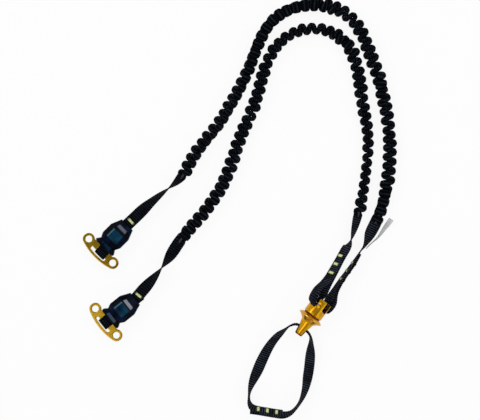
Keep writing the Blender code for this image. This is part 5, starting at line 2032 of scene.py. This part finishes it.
        add_wear_and_light(shell.data, s.wear_and_light_gain)
        return shell

    def _marks(self, rings: Array, half: Array, top: Array, panel: tuple | None, bands: list) -> Array:
        """Where the panel, the coloured bands and the painted highlight on the panel's rim lie on a shell's
        top and bottom.

        Args:
            rings: The shell's sections.
            half: Half width of its top at each section.
            top: Half height at each section.
            panel: Start and end of the sunk panels, or None.
            bands: Start, end, mark and strength of the coloured bands.

        Returns:
            Vectors of panel, painted reflection band and painted rim highlight, each from 0 to 1.
        """
        s = self.shape
        x, half = rings[:, 0, 0], half[:, None]
        side, over = rings[:, :, 1], np.abs(rings[:, :, 2])
        within = 1.0 - smooth(np.abs(side), half - s.mark_fade[0], half - s.mark_fade[1])
        face = within * (over > (top - s.face_depth)[:, None])
        marks = np.zeros(rings.shape)
        if panel:
            soft = s.panel_soft
            sunk = smooth(x, panel[0], panel[0] + soft) * (1.0 - smooth(x, panel[1] - soft, panel[1]))
            marks[:, :, 0] = sunk[:, None] * face
            # Painted highlight on the panel's rim, on its +Y side only
            marks[:, :, 2] = marks[:, :, 0] * smooth(side, half - s.rim_highlight_fade[0], half - s.rim_highlight_fade[1])
        for start, end, mark, strength in bands:
            soft = s.band_soft
            there = smooth(x, start - soft, start + soft) * (1.0 - smooth(x, end - soft, end + soft))
            marks[:, :, mark] += strength * there[:, None] * face
        return marks

    def _sleeve(self) -> None:
        """The faceted grip sleeve."""
        s = self.shape
        height = 2 * s.height
        start = s.collar_start + s.collar_length + GAP
        end = start + s.sleeve_length
        places = (start, start + s.nose_taper, end - s.tail_taper, end - s.tail_tip, end)
        widths = (s.nose_width, s.sleeve_width, s.sleeve_width, mix(s.tail_width, s.sleeve_width, 0.45),
                  s.tail_width)
        heights = (s.nose_height, height, height, mix(s.tail_height, height, 0.5), s.tail_height)
        chamfers = (0.7 * s.chamfer, s.chamfer, s.chamfer, 0.8 * s.chamfer, 0.6 * s.chamfer)
        sizes = {"width": widths, "height": heights, "chamfer": chamfers}
        bore = ((TAPE_WIDTH + s.bore_room) / 2,
                LAYER_OFFSET + TAPE_THICKNESS / 2 + s.thread_room + GAP + s.slide_room)
        panel = (places[1] + 0.0008, places[2] - 0.0006)
        # The painted reflection band on the sloping facet, drawn stronger on the inner grip where the lamp
        # falls
        band, strength = (0.0030, 0.40) if self.name == "outer" else (0.0010, 0.85)
        bands = [(places[2] + band, places[2] + band + 0.0036, 1, strength)]
        sleeve = self._faceted(f"{self.name}_grip_body", places, sizes, bore, panel, bands)
        self.palette.dress(sleeve, Slot.GRIP, f"{self.name}_grip", f"{self.name}_grip_sleeve")

    def _collar(self) -> None:
        """The flared collar between the sleeve and the toggle."""
        s = self.shape
        end = s.collar_start + s.collar_length
        places = (s.collar_start, s.collar_start + s.collar_lip, end)
        sizes = {"width": (s.collar_width, s.collar_width, s.nose_width),
                 "height": (s.collar_height, s.collar_height, s.nose_height),
                 "chamfer": (1.1 * s.chamfer, 1.1 * s.chamfer, 0.7 * s.chamfer)}
        bore = ((TAPE_WIDTH + s.bore_room) / 2 + s.drift, s.plate / 2 + TAPE_THICKNESS + 2 * GAP)
        # Teal and a painted reflection band on the collar's top, drawn stronger on the inner grip as painted
        # light
        teal, painted_sheen = (0.35, 0.0) if self.name == "outer" else (1.0, 0.16)
        bands = [(places[1] + 0.0002, end - 0.0004, 0, teal), (places[1] + 0.0004, end - 0.0008, 1, painted_sheen)]
        collar = self._faceted(f"{self.name}_grip_flare", places, sizes, bore, None, bands)
        self.palette.dress(collar, Slot.GRIP, f"{self.name}_grip", f"{self.name}_grip_collar")


# Studio

@dataclass
class Studio:
    """Pale floor, soft lamps and the camera that looks straight down."""

    camera: tuple = (0.0380, 0.0807, 1.3068)
    lens: float = 84.8
    sensor: float = 36.0
    floor_size: float = 6.0
    floor_drop: float = 0.0003
    floor_thickness: float = 0.01
    shadow_share: float = 0.10
    room_stops: tuple = ((0.25, (0.85, 0.86, 0.88)), (0.95, (0.26, 0.28, 0.31)))
    lamps: tuple = (
        ("lamp_low_left", (-0.52, -0.41, 1.35), 0.60, 2.8),
        ("lamp_up_right", (0.62, 0.55, 1.30), 0.66, 3.6),
        ("lamp_up_left", (-0.88, 0.62, 1.25), 0.60, 4.0),
        ("lamp_low_right", (0.95, -0.75, 0.95), 0.55, 1.4),
    )

    def build(self) -> None:
        """Make the floor, the world, the lamps and the camera."""
        scene = bpy.context.scene
        scene.view_settings.view_transform = "Standard"
        self._floor()
        self._world()
        for name, place, size, radiance in self.lamps:
            self._lamp(name, Vector(place), size, radiance)
        camera = bpy.data.cameras.new("camera")
        camera.sensor_width = self.sensor
        camera.lens = self.lens
        eye = bpy.data.objects.new("camera", camera)
        eye.location = self.camera
        scene.collection.objects.link(eye)
        scene.camera = eye

    def _floor(self) -> None:
        """A white floor that keeps a light shadow."""
        half = self.floor_size / 2
        outline = half * np.array([(-1, -1), (1, -1), (1, 1), (-1, 1)])
        low = -self.floor_drop - self.floor_thickness
        solid = closed_tube(extruded(outline, low, -self.floor_drop))
        floor = made_of("floor", solid)
        sharpened(floor.data)
        g = Surface("floor_paper")
        paper = g.noise(g.place(), 40.0, 3.0)
        g.finish(Base_Color=g.blend((0.86, 0.86, 0.86), (0.90, 0.90, 0.90), paper), Roughness=0.85)
        rays = [g.node("ShaderNodeLightPath", {}, {}, name) for name in
                ("Is Camera Ray", "Is Glossy Ray", "Is Transmission Ray")]
        seen = (rays[0] + rays[1] + rays[2]).clamp() * (1.0 - self.shadow_share)
        glow = g.node("ShaderNodeEmission", {}, {"Color": (1.0, 1.0, 1.0, 1.0), "Strength": 1.0})
        mixed = g.node("ShaderNodeMixShader", {}, {0: seen, 1: Value(g, g.shader.outputs[0]), 2: glow})
        g.tree.links.new(mixed.socket, g.tree.nodes["Material Output"].inputs["Surface"])
        floor.data.materials.append(g.material)

    def _world(self) -> None:
        """A pale room, darker overhead, and white where the camera sees it."""
        world = bpy.data.worlds.new("studio")
        bpy.context.scene.world = world
        world.use_nodes = True
        g = Graph(world.node_tree)
        up = g.part(g.node("ShaderNodeTexCoord", {}, {}, "Generated"), "Z")
        room = g.node("ShaderNodeValToRGB", {"stops": self.room_stops}, {0: up})
        seen = g.node("ShaderNodeLightPath", {}, {}, "Is Camera Ray")
        colour = g.blend(room, (1.0, 1.0, 1.0), seen)
        g.tree.links.new(colour.socket, g.tree.nodes["Background"].inputs["Color"])

    def _lamp(self, name: str, place: Vector, size: float, radiance: float) -> None:
        """A square soft lamp that points at the middle of the leash.

        Args:
            name: The lamp's name.
            place: Where it hangs.
            size: Length of its side.
            radiance: How bright its face is; its power is pi times its area times this.
        """
        lamp = bpy.data.lights.new(name, "AREA")
        lamp.shape = "SQUARE"
        lamp.size = size
        lamp.energy = math.pi * size ** 2 * radiance
        obj = bpy.data.objects.new(name, lamp)
        obj.location = place
        aim = Vector((*self.camera[:2], 0.0)) - place
        obj.rotation_euler = aim.to_track_quat("-Z", "Y").to_euler()
        bpy.context.scene.collection.objects.link(obj)


def main() -> None:
    """Build the studio and every sub-assembly, in order."""
    logging.basicConfig(level=logging.INFO, format="%(name)s: %(message)s")
    Studio().build()
    palette = Palette(Swivel.axis())
    swivel = Swivel(palette)
    swivel.build()
    HarnessLoop(palette, swivel).build()
    Arm(palette, swivel, "outer", toggle=(-0.12155, 0.03375), turn=math.radians(44.6),
        flat=OUTER_FLAT, gathered=OUTER_GATHERED, doubled=OUTER_DOUBLED, window=-1, window_roll=-45.0,
        bulge=OUTER_BULGE, leg_width=0.0130, drift_share=-1.0, stretch_from=0.187,
        folds=OUTER_FOLDS).build()
    Arm(palette, swivel, "inner", toggle=(-0.11565, -0.04765), turn=math.radians(38.4),
        flat=INNER_FLAT, gathered=INNER_GATHERED, doubled=INNER_DOUBLED, window=1, window_roll=-225.0,
        bulge=INNER_BULGE, leg_width=0.0136, drift_share=0.0, stretch_from=0.167,
        folds=INNER_FOLDS).build()


if __name__ == "__main__":
    main()
